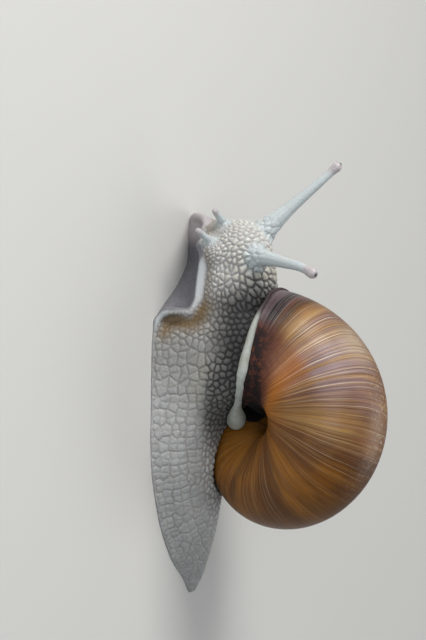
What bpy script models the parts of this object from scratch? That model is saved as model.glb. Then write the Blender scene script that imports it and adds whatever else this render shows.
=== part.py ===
"""Roman snail (Helix pomatia), life size, crawling with its front lifted and its head turned left.

The snail faces +X, its left side is +Y and the flat of its sole lies on Z = 0. Lengths in this
file are millimetres, turned into metres when a mesh is made. X runs from the tip of the tail
until the last step, which puts the origin under the middle of the whole animal.
"""

import math

import bmesh
import bpy
from mathutils import Matrix, Vector

MM = 0.001
GAP = 0.3  # what touching pieces keep between them

# Shell: a section that turns about an axis and shrinks towards the apex at a constant rate.
TURN = 2 * math.pi
WHORL_RATE = 2.06  # growth per turn
WHORLS = 4.0
WHORL_RADIUS = 13.13  # axis to middle of the section, at the aperture
WHORL_HALF_WIDTH = 11.23
WHORL_HALF_HEIGHT = 13.44
BASE_SQUARENESS = 4.5  # the section is squarer on its way from the base to the umbilicus
WHORL_DROP = 26.0  # apex to middle of the section, along the axis
STEPS_PER_TURN = 24
BAND_STEPS = 5  # across the band of each whorl that shows
BASE_STEPS = 12  # across the base of the last whorl, into the umbilicus
COLUMELLA_ANGLE = -math.pi  # where the section meets the wall of the umbilicus
# The free edge of the last whorl: angle on the section, and how far ahead it stands, in degrees.
LIP_LINE = (
    (-180, 30), (-160, 9), (-150, -2), (-140, -9), (-125, -15), (-110, -18), (-80, -19),
    (-60, -19), (-40, -16.5), (0, -15), (60, -10), (93, 0), (180, 0),
)
LIP_LEAVES = math.radians(-142)  # angle where the lip leaves the whorl and folds over the umbilicus
# Inner part of the lip, down to its knob on the whorl before: x, y, z, half width, half thickness.
LIP_FOLD = (
    (35.4, 11.2, 16.4, 0.75, 0.7),
    (34.0, 9.0, 15.4, 0.8, 0.75),
    (32.6, 6.3, 14.1, 1.0, 0.9),
    (31.4, 3.8, 13.0, 1.4, 1.15),
    (30.4, 1.7, 12.1, 1.75, 1.45),
    (29.9, 0.7, 11.6, 1.55, 1.3),
)
COLUMELLA = (-34.0, -25.0)  # heights on the axis between which the fold is rooted
LIP_RADIUS = 0.75
SHELL_APEX = Vector((21.7, -20.6, 20.3))
SHELL_YAW = math.radians(-109.5)  # heading of the axis, base to apex
SHELL_RISE = math.radians(5)
SHELL_SPIN = math.radians(-12.5)

# Foot and trunk, tail to front: x, middle, half width on the floor, half width half way up,
# half width at the top, height.
TRUNK = (
    (-1.2, -6.5, 0.7, 0.55, 0.25, 0.8),
    (1.8, -6.3, 3.3, 2.2, 0.8, 2.4),
    (5.3, -4.5, 6.4, 4.3, 1.2, 4.2),
    (10.6, -2.8, 9.2, 6.6, 1.8, 6.3),
    (15.5, -1.6, 10.5, 8.0, 2.6, 7.5),
    (21.0, -0.6, 11.4, 9.1, 4.0, 8.5),
    (27.0, -0.2, 11.6, 9.4, 5.6, 9.2),
    (31.0, -0.3, 11.5, 9.3, 6.6, 10.8),
    (33.5, -0.4, 11.5, 9.2, 7.6, 14.0),
    (36.5, -0.4, 11.5, 9.3, 8.6, 20.0),
    (40.5, -0.5, 11.4, 9.6, 9.8, 21.5),
    (44.0, -0.5, 11.2, 9.5, 9.6, 21.5),
    (46.2, -0.5, 10.4, 9.2, 9.2, 21.0),
    (47.4, -0.4, 8.6, 8.4, 8.6, 20.0),
    (48.7, -0.3, 7.2, 8.3, 8.2, 19.0),
)
# Front of the foot, lifted on its left: x, right margin, where the sole leaves the floor,
# left margin, height of the left margin.
FRONT = (
    (42.0, -11.0, 9.2, 9.4, -0.4),
    (45.0, -11.3, 9.2, 9.8, -0.4),
    (47.0, -11.5, 9.0, 10.2, -0.3),
    (48.3, -11.6, 7.8, 9.7, 0.6),
    (49.3, -11.6, 6.4, 8.9, 3.0),
    (50.1, -11.6, 5.0, 8.2, 5.2),
    (51.6, -11.6, 3.0, 7.5, 6.3),
    (54.5, -11.6, -1.4, 7.1, 6.6),
    (58.0, -11.6, -5.4, 7.0, 7.1),
    (60.5, -11.4, -5.9, 6.2, 7.2),
    (62.6, -11.0, -6.1, 5.0, 6.9),
    (64.2, -10.4, -6.2, 3.0, 6.2),
    (65.2, -9.8, -6.4, 0.8, 5.2),
    (66.0, -9.2, -6.7, -2.3, 3.4),
    (66.5, -8.6, -6.9, -5.6, 0.8),
    (66.6, -8.3, -7.0, -6.6, 0.0),
)
# The lifted margin swings back and forth where it rises: height, reach along X, spread in height.
WAVES = ((1.8, 1.5, 1.5), (5.8, -0.9, 1.5))
WAVE_X, WAVE_SPREAD = 49.8, 2.2
RIM = 0.8  # half thickness of the lifted margin
FRONT_DEPTH = 6.5  # foot above the sole, where it joins the neck

# Neck, from the trunk to the head: x, y, z, half width, half height.
NECK = (
    (42.0, -0.3, 11.0, 9.0, 8.6),
    (48.0, 0.0, 11.6, 8.4, 7.8),
    (53.0, 0.4, 12.0, 7.7, 7.0),
    (57.0, 1.2, 12.4, 6.8, 6.6),
    (60.0, 2.2, 12.7, 5.4, 5.6),
)
THROAT = (
    (46.0, 0.0, 8.0, 8.4, 6.0),
    (51.0, 0.5, 9.4, 7.9, 4.8),
    (55.0, 1.0, 10.4, 7.4, 4.2),
    (58.5, 1.9, 10.8, 6.4, 3.8),
    (60.5, 2.6, 11.2, 4.8, 3.2),
)

# Head: its own frame, turned left and bowed. Points in it are forward, left and up.
HEAD = Vector((59.4, 1.9, 12.8))
HEAD_YAW = math.radians(49.5)
HEAD_BOW = math.radians(14.6)
HEAD_ROLL = math.radians(4)
HEAD_RADII = (6.2, 6.2, 5.9)
CHEEK = ((3.3, 2.7, -1.9), (3.0, 2.7, 2.9))  # place and radii of the left one
MOUTH = ((4.9, 0.0, -3.0), (1.9, 2.1, 1.7))
MOUTH_LOBE = ((5.4, 1.75, -3.6), (1.45, 1.15, 1.75))

# Tentacles: x, y, z, radius, from the root inside the head to the tip.
UPPER_LEFT = (
    (59.4, 2.6, 12.4, 3.1),
    (59.1, 3.8, 14.8, 2.8),
    (58.8, 5.0, 17.2, 2.05),
    (58.3, 6.7, 20.3, 1.3),
    (57.6, 8.2, 23.4, 1.0),
    (57.0, 9.5, 26.2, 0.84),
    (56.3, 10.4, 28.2, 0.78),
    (55.7, 11.0, 29.5, 1.0),
    (55.4, 11.25, 30.2, 0.62),
)
UPPER_RIGHT = (
    (60.3, 1.0, 12.9, 3.0),
    (62.2, -0.1, 15.3, 2.9),
    (64.5, -0.7, 17.7, 1.9),
    (67.1, -1.8, 20.5, 1.2),
    (69.7, -2.9, 23.3, 0.95),
    (72.1, -3.9, 25.9, 0.78),
    (73.6, -4.6, 27.4, 0.74),
    (74.6, -5.0, 28.4, 0.95),
    (75.0, -5.2, 28.9, 0.6),
)
LOWER_LEFT = (
    (59.6, 4.2, 10.6, 1.5),
    (61.0, 6.4, 9.9, 0.95),
    (62.0, 8.1, 9.1, 0.6),
    (63.0, 9.6, 8.4, 0.58),
    (63.4, 10.2, 8.1, 0.34),
)
LOWER_RIGHT = (
    (63.7, 2.9, 11.0, 1.4),
    (65.1, 4.9, 10.7, 0.82),
    (65.9, 6.2, 10.5, 0.56),
    (66.6, 7.2, 10.35, 0.56),
    (66.85, 7.6, 10.3, 0.34),
)
EYE_RADIUS = 0.42

FLESH_VOXEL = 0.45
FLESH_FACES = 3150
TAIL_CUT = 24.0  # x of the cut between tail and middle of the foot
FRONT_CUT = 46.0  # x of the cut between middle and front of the foot
FOOT_TOP = 8.6  # height of the cut between foot and neck
FRONT_SLOPE = 0.09  # fall of that cut towards the mouth
HEAD_CUT = (56.6, -1.6, 12.0)  # a point of the cut between neck and head
HEAD_CUT_YAW = math.radians(22)
COLLAR_FLOOR, COLLAR_FRONT = 15.2, 52.4  # underside and front end of the mantle collar


def rgb_material(name, colour, roughness):
    """A plain finish in one colour."""
    material = bpy.data.materials.new(name)
    material.use_nodes = True
    shader = material.node_tree.nodes["Principled BSDF"]
    shader.inputs["Base Color"].default_value = (*colour, 1.0)
    shader.inputs["Roughness"].default_value = roughness
    shader.inputs["Metallic"].default_value = 0.0
    return material


def add_object(name, vertices, faces, material=None):
    """A mesh object from points in millimetres."""
    mesh = bpy.data.meshes.new(name)
    mesh.from_pydata([Vector(v) * MM for v in vertices], [], faces)
    mesh.validate()
    mesh.shade_smooth()
    obj = bpy.data.objects.new(name, mesh)
    bpy.context.scene.collection.objects.link(obj)
    if material:
        mesh.materials.append(material)
    return obj


def edit(obj, change):
    """Runs change on the object's bmesh and stores the result."""
    bm = bmesh.new()
    bm.from_mesh(obj.data)
    change(bm)
    bm.to_mesh(obj.data)
    bm.free()
    obj.data.update()
    return obj


def bake_modifiers(obj):
    """Replaces the object's mesh with what its modifiers make."""
    graph = bpy.context.evaluated_depsgraph_get()
    mesh = bpy.data.meshes.new_from_object(obj.evaluated_get(graph))
    obj.modifiers.clear()
    obj.data = mesh
    return obj


def mixed(low, high, share):
    """The number this share of the way from low to high."""
    return low + (high - low) * share


def catmull_rom(stations, samples):
    """Rows of numbers read from a smooth curve through the stations, samples to a span."""
    padded = [stations[0], *stations, stations[-1]]
    rows = []
    for a, b, c, d in zip(padded, padded[1:], padded[2:], padded[3:]):
        for step in range(samples):
            t = step / samples
            rows.append([
                0.5 * (2 * q + (r - p) * t + (2 * p - 5 * q + 4 * r - s) * t**2
                       + (3 * q - p - 3 * r + s) * t**3)
                for p, q, r, s in zip(a, b, c, d)
            ])
    rows.append(list(stations[-1]))
    return rows


def loft(name, rings, material=None):
    """A closed solid through rings of points, with a fan over each end."""
    count = len(rings[0])
    vertices = [Vector(p) for ring in rings for p in ring]
    faces = []
    for i in range(len(rings) - 1):
        for j in range(count):
            k = (j + 1) % count
            faces.append((i * count + j, i * count + k, (i + 1) * count + k, (i + 1) * count + j))
    for ring in (0, len(rings) - 1):
        middle = sum((vertices[ring * count + j] for j in range(count)), Vector()) / count
        vertices.append(middle)
        for j in range(count):
            faces.append((ring * count + j, ring * count + (j + 1) % count, len(vertices) - 1))
    obj = add_object(name, vertices, faces, material)
    return edit(obj, lambda bm: bmesh.ops.recalc_face_normals(bm, faces=bm.faces))


def tube(name, stations, samples=3, sides=16, up=Vector((0, 0, 1)), material=None):
    """A solid along a smooth path. A station is x, y, z, half width, half height."""
    rows = catmull_rom(stations, samples)
    centres = [Vector(row[:3]) for row in rows]
    rings = []
    for i, row in enumerate(rows):
        ahead = centres[min(i + 1, len(rows) - 1)] - centres[max(i - 1, 0)]
        side = up.cross(ahead).normalized()
        lift = ahead.cross(side).normalized()
        angles = [TURN * k / sides for k in range(sides)]
        rings.append([
            centres[i] + side * row[3] * math.cos(a) + lift * row[4] * math.sin(a) for a in angles
        ])
    return loft(name, rings, material)


def ball(name, centre, radii, turn=None, material=None, segments=20):
    """An ellipsoid."""
    bm = bmesh.new()
    bmesh.ops.create_uvsphere(bm, u_segments=segments, v_segments=segments // 2 + 1, radius=1.0)
    turn = turn or Matrix.Identity(3)
    points = [centre + turn @ Vector(c * r for c, r in zip(v.co, radii)) for v in bm.verts]
    faces = [[v.index for v in f.verts] for f in bm.faces]
    bm.free()
    return add_object(name, points, faces, material)


# ---------------------------------------------------------------- shell


def shell_frame():
    """Turn of the shell: its Z runs from base to apex, its X from the axis to the aperture."""
    flat = math.cos(SHELL_RISE)
    axis = Vector((math.cos(SHELL_YAW) * flat, math.sin(SHELL_YAW) * flat, math.sin(SHELL_RISE)))
    ahead = Vector((1, 0, 0))
    ahead = (ahead - axis * ahead.dot(axis)).normalized()
    side = axis.cross(ahead)
    out = ahead * math.cos(SHELL_SPIN) + side * math.sin(SHELL_SPIN)
    return Matrix((out, axis.cross(out), axis)).transposed()


def section(angle):
    """Distance from the axis and height of a point on the last section."""
    across, along = math.cos(angle), math.sin(angle)
    if angle < -math.pi / 2:
        power = 2 / BASE_SQUARENESS
        across, along = -(abs(across) ** power), -(abs(along) ** power)
    return WHORL_RADIUS + WHORL_HALF_WIDTH * across, -WHORL_DROP + WHORL_HALF_HEIGHT * along


def angle_on_previous(angle):
    """Angle, on the section one turn back, of the point at this angle of the last section."""
    radius, height = section(angle)
    across = (radius * WHORL_RATE - WHORL_RADIUS) / WHORL_HALF_WIDTH
    along = (height * WHORL_RATE + WHORL_DROP) / WHORL_HALF_HEIGHT
    return math.atan2(along, across), math.hypot(along, across)


def suture_angles():
    """Where the suture lies on a section, and on the section one turn back."""
    low, high = 0.0, 0.75 * math.pi
    for _ in range(40):
        middle = (low + high) / 2
        outside = angle_on_previous(middle)[1] > 1
        low, high = (middle, high) if outside else (low, middle)
    return low, angle_on_previous(low)[0]


def whorl_point(frame, turn_angle, radius, height):
    """A point of the spiral surface, with the shrinking of its turn."""
    scale = WHORL_RATE ** (turn_angle / TURN)
    local = Vector((
        radius * scale * math.cos(-turn_angle),
        radius * scale * math.sin(-turn_angle),
        height * scale,
    ))
    return SHELL_APEX + frame @ local


def lip_turn(angle):
    """How far the lip stands ahead of the end of the spiral, at an angle of the section."""
    degrees = math.degrees(angle)
    for (a, start), (b, end) in zip(LIP_LINE, LIP_LINE[1:]):
        if degrees <= b:
            share = (degrees - a) / (b - a)
            return math.radians(start + (end - start) * share * share * (3 - 2 * share))
    return 0.0


def shell_solid(name, last_turn, base, slanted, material=None):
    """The shell up to last_turn as one closed solid.

    base is the profile of the last turn from its outer suture line to the axis, as (angle or
    None, radius, height). slanted leans the last edge into the plane of the lip.
    """
    frame = shell_frame()
    own, previous = suture_angles()
    band = [own + (previous - own) * k / BAND_STEPS for k in range(BAND_STEPS + 1)]
    first = last_turn - TURN * WHORLS
    columns = round(TURN * WHORLS / TURN * STEPS_PER_TURN)
    vertices, index, faces = [], {}, []

    def vertex(column, row):
        """Row 0 is the suture, which is the foot of the band one turn back."""
        if row == 0 and column >= STEPS_PER_TURN:
            return vertex(column - STEPS_PER_TURN, BAND_STEPS)
        key = (column, row)
        if key not in index:
            if row <= BAND_STEPS:
                angle = band[row]
                radius, height = section(angle)
            else:
                angle, radius, height = base[row - BAND_STEPS - 1]
            turn_angle = first + TURN * column / STEPS_PER_TURN
            if slanted:
                left = (turn_angle - last_turn) / math.pi + 1
                ease = max(0.0, left) ** 2 if row else 0.0
                turn_angle += ease * lip_turn(angle)
            index[key] = len(vertices)
            vertices.append(whorl_point(frame, turn_angle, radius, height))
        return index[key]

    rows = BAND_STEPS + len(base)
    last_start = columns - STEPS_PER_TURN
    for column in range(columns):
        for row in range(rows if column >= last_start else BAND_STEPS):
            faces.append((
                vertex(column, row), vertex(column, row + 1),
                vertex(column + 1, row + 1), vertex(column + 1, row),
            ))
    aperture = [vertex(columns, row) for row in range(rows + 1)]
    axis = [vertex(column, rows) for column in range(last_start + 1, columns)]
    inner = [vertex(last_start, row) for row in range(BAND_STEPS + 1, rows + 1)]
    faces.append(aperture + axis[::-1] + inner[::-1])
    nucleus = [vertex(0, row) for row in range(BAND_STEPS + 1)]
    first_turn = [vertex(column, 0) for column in range(1, STEPS_PER_TURN)]
    faces.append(nucleus[::-1] + first_turn)
    obj = add_object(name, vertices, faces, material)

    def close(bm):
        bmesh.ops.remove_doubles(bm, verts=bm.verts, dist=1e-7)
        bmesh.ops.triangulate(bm, faces=bm.faces)
        bmesh.ops.recalc_face_normals(bm, faces=bm.faces)

    return edit(obj, close)


def umbilical_base():
    """Profile of the last whorl from below its middle, round the base and in to the axis."""
    _, start = suture_angles()
    outer = BASE_STEPS // 2
    low = -math.pi / 2
    angles = [mixed(start, low, step / outer) for step in range(1, outer + 1)]
    for step in range(1, BASE_STEPS - outer + 1):
        angles.append(mixed(low, COLUMELLA_ANGLE, (step / (BASE_STEPS - outer)) ** 2.2))
    profile = [(angle, *section(angle)) for angle in angles]
    profile.append((COLUMELLA_ANGLE, 0.0, section(COLUMELLA_ANGLE)[1]))
    return profile


def spire_base():
    """Profile that closes the spire from its outer suture line straight to the axis."""
    _, start = suture_angles()
    radius, height = section(start)
    return [(start, radius * share, height) for share in (0.5, 0.0)]


def subtract(obj, cutter):
    """Cuts the cutter from the object and removes it."""
    cut = obj.modifiers.new("cut", "BOOLEAN")
    cut.object = cutter
    cut.operation = "DIFFERENCE"
    cut.solver = "MANIFOLD"
    bake_modifiers(obj)
    bpy.data.objects.remove(cutter)
    return keep_largest(obj)


def unite(obj, other):
    """Joins the other solid to the object and removes it."""
    fuse = obj.modifiers.new("fuse", "BOOLEAN")
    fuse.object = other
    fuse.operation = "UNION"
    fuse.solver = "MANIFOLD"
    bake_modifiers(obj)
    bpy.data.objects.remove(other)
    return obj


def keep_largest(obj):
    """Drops crumbs that a cut left beside the main body."""

    def drop(bm):
        bmesh.ops.remove_doubles(bm, verts=bm.verts, dist=2e-6)
        seen, bodies = set(), []
        for seed in bm.verts:
            if seed in seen:
                continue
            seen.add(seed)
            body, fresh = [], [seed]
            while fresh:
                vertex = fresh.pop()
                body.append(vertex)
                for e in vertex.link_edges:
                    other = e.other_vert(vertex)
                    if other not in seen:
                        seen.add(other)
                        fresh.append(other)
            bodies.append(body)
        bodies.sort(key=len)
        crumbs = [v for body in bodies[:-1] for v in body]
        bmesh.ops.delete(bm, geom=crumbs, context="VERTS")

    return edit(obj, drop)


def grown(obj, name, distance=GAP):
    """A copy of the object, thicker by distance all round."""
    copy = obj.copy()
    copy.data = obj.data.copy()
    copy.name = name
    bpy.context.scene.collection.objects.link(copy)
    copy.data.materials.clear()

    def swell(bm):
        bm.normal_update()
        moves = [v.normal * distance * MM * min(v.calc_shell_factor(), 2.0) for v in bm.verts]
        for v, move in zip(bm.verts, moves):
            v.co += move

    return edit(copy, swell)


def lip_path(samples):
    """Points round the free edge of the whorl, from the suture to where the fold leaves it."""
    frame = shell_frame()
    own, _ = suture_angles()
    low = -math.pi / 2
    outer = round(0.75 * samples)
    angles = [mixed(own, low, step / outer) for step in range(outer)]
    for step in range(samples - outer + 1):
        angles.append(mixed(low, LIP_LEAVES, (step / (samples - outer)) ** 2.0))
    return [whorl_point(frame, lip_turn(a), *section(a)) for a in angles]


def columella_blade(name):
    """The wall that stands between the umbilicus and the aperture, behind the fold of the lip."""
    frame = shell_frame()
    rings = []
    for i, station in enumerate(LIP_FOLD):
        share = i / (len(LIP_FOLD) - 1)
        edge = Vector(station[:3])
        root = SHELL_APEX + frame @ Vector((0, 0, mixed(*COLUMELLA, share)))
        along = (Vector(LIP_FOLD[-1][:3]) - Vector(LIP_FOLD[0][:3])).normalized()
        inward = root - edge
        thick = along.cross(inward).normalized() * 0.6
        rings.append([
            edge + thick, edge + inward * 0.5 + thick * 1.2, root + thick,
            root - thick, edge + inward * 0.5 - thick * 1.2, edge - thick,
        ])
    return loft(name, rings)


def build_shell(material, lip_material):
    """Body whorl, spire and lip, and the cutters that clear room for them."""
    whole = shell_solid("shell_body_whorl", 0.0, umbilical_base(), True, material)
    room = grown(whole, "shell_room", 1.6 * GAP)
    spire = shell_solid("shell_spire", -TURN, spire_base(), False, material)
    for distance in (1.4 * GAP, GAP / 5):
        subtract(whole, grown(spire, "spire_cutter", distance))
    edge = [(*p, LIP_RADIUS, LIP_RADIUS) for p in lip_path(24)]
    fold = catmull_rom(LIP_FOLD, 3)
    lip = tube("shell_lip", [*edge, *fold], samples=1, sides=8, material=lip_material)
    blade = columella_blade("blade")
    unite(lip, blade)
    for piece in (whole, spire):
        subtract(piece, grown(lip, "lip_cutter"))
    return room, grown(lip, "lip_room")


# ---------------------------------------------------------------- flesh


def trunk_ring(x, middle, floor, waist, top, height):
    """Outline of the foot and trunk at one x, below the floor and round over the back."""
    half = (
        (floor - 0.6, -1.5), (floor, -0.6), (floor, 0.5), (mixed(floor, waist, 0.55), 0.16 * height + 0.3),
        (waist, 0.5 * height), (mixed(waist, top, 0.6), 0.8 * height), (top * 0.72, 0.96 * height),
    )
    left = [(x, middle + w, z) for w, z in half]
    right = [(x, middle - w, z) for w, z in reversed(half)]
    return catmull_rom([*left, (x, middle, height), *right], 3)


def waved(x, y, z):
    """A point of the front of the foot, moved with the swing of its margin."""
    near = math.exp(-(((x - WAVE_X) / WAVE_SPREAD) ** 2)) * min(1.0, max(0.0, y / 5))
    return x + near * sum(reach * math.exp(-(((z - at) / spread) ** 2)) for at, reach, spread in WAVES), y, z


def front_ring(x, right, leaves, left, lift):
    """Outline of the front of the foot at one x: arched sole, thin left rim, thick middle."""
    sole = [(right + 0.5, -1.5), (mixed(right, leaves, 0.5), -1.5), (leaves - 0.4, -1.2)]
    for step in range(1, 7):
        share = math.sin(step / 6 * math.pi / 2)
        rise = math.sqrt(max(0.0, 1 - (1 - share) ** 2))
        sole.append((mixed(leaves, left, share), lift * rise - 0.4 * (1 - share)))
    thick = FRONT_DEPTH * min(1.0, (left - right) / 14)
    rim = [(left + 0.5 * RIM, lift + RIM), (left - 0.6, lift + 1.8 * RIM)]
    crest = max(lift, 0.0)
    top = [
        (mixed(left, right, 0.2), crest + 0.35 * thick + RIM),
        (mixed(left, right, 0.45), crest * 0.9 + thick * 0.8),
        (mixed(left, right, 0.7), crest * 0.5 + thick * 0.85),
        (mixed(left, right, 0.9), crest * 0.2 + 0.5 * thick),
        (right - 0.1, 0.6),
        (right + 0.1, -0.8),
    ]
    return [waved(x, y, z) for _, y, z in catmull_rom([(x, y, z) for y, z in sole + rim + top], 2)]


def margin():
    """The round edge of the front of the foot, where it is lifted."""
    stations = []
    for x, right, _, left, lift in FRONT[3:]:
        place = waved(x, left - 0.05, lift + RIM)
        stations.append((*place, RIM, RIM))
    return tube("margin", stations, 4, 12)


def loft_rows(name, stations, ring):
    """A loft through the rings of smoothly spaced stations."""
    return loft(name, [ring(*row) for row in catmull_rom(stations, 3)])


def head_frame():
    """Turn of the head: its X looks out of the mouth."""
    return (
        Matrix.Rotation(HEAD_YAW, 3, "Z") @ Matrix.Rotation(HEAD_BOW, 3, "Y")
        @ Matrix.Rotation(HEAD_ROLL, 3, "X")
    )


def head_balls():
    """Skull, cheeks, mouth and the lobes beside it."""
    turn = head_frame()
    balls = [ball("skull", HEAD, HEAD_RADII, turn)]
    balls.append(ball("mouth", HEAD + turn @ Vector(MOUTH[0]), MOUTH[1], turn))
    for side in (1, -1):
        for place, radii in (CHEEK, MOUTH_LOBE):
            centre = Vector((place[0], side * place[1], place[2]))
            balls.append(ball("cheek", HEAD + turn @ centre, radii, turn))
    return balls


def tentacle(name, stations, material=None):
    """A tapering tube."""
    return tube(name, [(*s[:3], s[3], s[3]) for s in stations], 2, 10, Vector((0.3, 1, 0.2)), material)


def join(objects, name):
    """One object holding all their faces."""
    bm = bmesh.new()
    for obj in objects:
        bm.from_mesh(obj.data)
        bpy.data.objects.remove(obj)
    mesh = bpy.data.meshes.new(name)
    bm.to_mesh(mesh)
    bm.free()
    obj = bpy.data.objects.new(name, mesh)
    bpy.context.scene.collection.objects.link(obj)
    return obj


def cut_flat(obj, point, normal):
    """Drops what lies beyond a plane and closes the cut."""

    def cut(bm):
        parts = bm.verts[:] + bm.edges[:] + bm.faces[:]
        bmesh.ops.bisect_plane(
            bm, geom=parts, dist=1e-7, plane_co=Vector(point) * MM, plane_no=Vector(normal),
            clear_outer=True,
        )
        rim = [e for e in bm.edges if e.is_boundary]
        bmesh.ops.triangle_fill(bm, edges=rim, use_beauty=True, use_dissolve=False)
        bmesh.ops.triangulate(bm, faces=bm.faces)
        bmesh.ops.recalc_face_normals(bm, faces=bm.faces)

    return edit(obj, cut)


def flesh_body():
    """All the soft parts as one smooth solid with a flat sole, without the feelers."""
    parts = [
        loft_rows("trunk", TRUNK, trunk_ring), loft_rows("front", FRONT, front_ring),
        margin(), tube("neck", NECK, 4, 24), tube("throat", THROAT, 4, 24), *head_balls(),
    ]
    obj = join(parts, "flesh")
    remesh = obj.modifiers.new("fuse", "REMESH")
    remesh.mode = "VOXEL"
    remesh.voxel_size = FLESH_VOXEL * MM
    smooth = obj.modifiers.new("smooth", "SMOOTH")
    smooth.factor = 0.5
    smooth.iterations = 6
    bake_modifiers(obj)
    reduce = obj.modifiers.new("reduce", "DECIMATE")
    reduce.ratio = min(1.0, FLESH_FACES / (2 * len(obj.data.polygons)))
    bake_modifiers(obj)
    return cut_flat(obj, (0, 0, 0), (0, 0, -1))


def part_of(body, name, cuts):
    """A copy of the body inside the given planes, each a point and the normal that leaves it."""
    copy = body.copy()
    copy.data = body.data.copy()
    copy.name = name
    bpy.context.scene.collection.objects.link(copy)
    for point, normal in cuts:
        normal = Vector(normal).normalized()
        cut_flat(copy, Vector(point) - normal * (GAP / 2), normal)
    return keep_largest(copy)


def block(name, low, high):
    """A box between two corners."""
    points = [(x, y, z) for x in (low[0], high[0]) for y in (low[1], high[1]) for z in (low[2], high[2])]
    faces = [(0, 1, 3, 2), (4, 6, 7, 5), (0, 4, 5, 1), (2, 3, 7, 6), (0, 2, 6, 4), (1, 5, 7, 3)]
    return add_object(name, points, faces)


def part_flesh(body):
    """Divides the soft body into the parts that have names."""
    tail, front = (TAIL_CUT, 0, 0), (FRONT_CUT, 0, 0)
    nape = HEAD_CUT
    ahead, up = Vector((1, 0, 0)), Vector((0, 0, 1))
    slope = Vector((FRONT_SLOPE, 0, 1))
    brow = (FRONT_CUT, 0, FOOT_TOP)
    forward = Vector((math.cos(HEAD_CUT_YAW), math.sin(HEAD_CUT_YAW), 0))
    lid, edge = (0, 0, COLLAR_FLOOR), (COLLAR_FRONT, 0, 0)
    parts = {
        "foot_tail": [(tail, ahead)],
        "foot_middle": [(tail, -ahead), (front, ahead), (brow, slope)],
        "foot_front": [(front, -ahead), (brow, slope)],
        "mantle_collar": [(tail, -ahead), (edge, ahead), (lid, -up)],
        "neck": [(tail, -ahead), (brow, -slope), (nape, forward)],
        "head": [(nape, -forward), (brow, -slope)],
    }
    nodes = {name: part_of(body, name, cuts) for name, cuts in parts.items()}
    room = block("collar_room", (0, -40, COLLAR_FLOOR - GAP / 2), (COLLAR_FRONT + GAP / 2, 40, 60))
    subtract(nodes["neck"], room)
    bpy.data.objects.remove(body)
    return nodes


def settle():
    """Moves everything so that the origin is on the floor under the middle of the animal."""
    points = [v.co for obj in bpy.data.objects for v in obj.data.vertices]
    low = [min(p[k] for p in points) for k in range(3)]
    high = [max(p[k] for p in points) for k in range(3)]
    shift = Vector((-(low[0] + high[0]) / 2, -(low[1] + high[1]) / 2, -low[2]))
    for obj in bpy.data.objects:
        obj.data.transform(Matrix.Translation(shift))


def main():
    for obj in list(bpy.data.objects):
        bpy.data.objects.remove(obj)
    shell = rgb_material("shell", (0.36, 0.16, 0.05), 0.35)
    lip = rgb_material("lip", (0.62, 0.6, 0.5), 0.5)
    skin = rgb_material("skin", (0.4, 0.38, 0.34), 0.45)
    dark = rgb_material("eye", (0.03, 0.03, 0.04), 0.2)
    rooms = build_shell(shell, lip)
    body = flesh_body()
    body.data.materials.append(skin)
    for room in rooms:
        subtract(body, room)
    for name, stations in (
        ("upper_tentacle_left", UPPER_LEFT), ("upper_tentacle_right", UPPER_RIGHT),
        ("lower_tentacle_left", LOWER_LEFT), ("lower_tentacle_right", LOWER_RIGHT),
    ):
        feeler = tentacle(name, stations, skin)
        subtract(feeler, grown(body, "head_room"))
        if name.startswith("upper"):
            bulb, end = Vector(stations[-2][:3]), Vector(stations[-1][:3])
            place = bulb.lerp(end, 0.75)
            eye = ball(name.replace("upper_tentacle", "eye"), place, [EYE_RADIUS] * 3, None, dark, 10)
            subtract(feeler, grown(eye, "eye_room", 0.12))
    part_flesh(body)
    settle()


main()
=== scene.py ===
"""Looks of a life-size Roman snail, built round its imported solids.

The snail crawls along +X with the front of its foot lifted; its left side is +Y and the floor is
Z = 0. Lengths in the classes below are millimetres, and meshes are in metres.
"""

import logging
import math
from dataclasses import dataclass, field
from enum import Enum
from typing import Any, Callable, Sequence

import bmesh
import bpy
import numpy as np
from mathutils import Matrix, Vector, noise
from mathutils.bvhtree import BVHTree
from mathutils.kdtree import KDTree


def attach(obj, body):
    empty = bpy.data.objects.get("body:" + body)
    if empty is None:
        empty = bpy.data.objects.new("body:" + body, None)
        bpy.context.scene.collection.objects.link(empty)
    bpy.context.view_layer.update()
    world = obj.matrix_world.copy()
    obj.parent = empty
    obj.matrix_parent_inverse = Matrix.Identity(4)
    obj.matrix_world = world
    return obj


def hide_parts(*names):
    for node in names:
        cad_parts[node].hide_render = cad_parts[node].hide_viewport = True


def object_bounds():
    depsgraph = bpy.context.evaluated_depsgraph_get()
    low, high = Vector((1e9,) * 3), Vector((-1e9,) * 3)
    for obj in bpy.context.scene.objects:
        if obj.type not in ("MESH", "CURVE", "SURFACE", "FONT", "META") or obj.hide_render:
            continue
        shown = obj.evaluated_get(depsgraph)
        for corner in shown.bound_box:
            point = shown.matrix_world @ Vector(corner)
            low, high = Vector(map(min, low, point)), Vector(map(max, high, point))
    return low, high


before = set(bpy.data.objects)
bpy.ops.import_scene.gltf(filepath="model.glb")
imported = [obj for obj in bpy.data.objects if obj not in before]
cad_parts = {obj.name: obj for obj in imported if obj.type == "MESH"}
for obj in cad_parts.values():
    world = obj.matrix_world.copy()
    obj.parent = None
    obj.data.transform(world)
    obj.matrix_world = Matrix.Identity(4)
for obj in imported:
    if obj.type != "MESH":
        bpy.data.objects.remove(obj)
CAD_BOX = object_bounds()

MM = 0.001
TURN = 2 * math.pi
SAME_PLACE = 2e-6  # points nearer than this are one, in metres
SHIFT = Vector((-37.168, 3.371, 0.0))  # from the tip of the tail to the middle of the animal
BODY = "root"
log = logging.getLogger("snail")
Colour = tuple[float, float, float]
Place = tuple[float, float, float]


# ---------------------------------------------------------------- node trees


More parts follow.
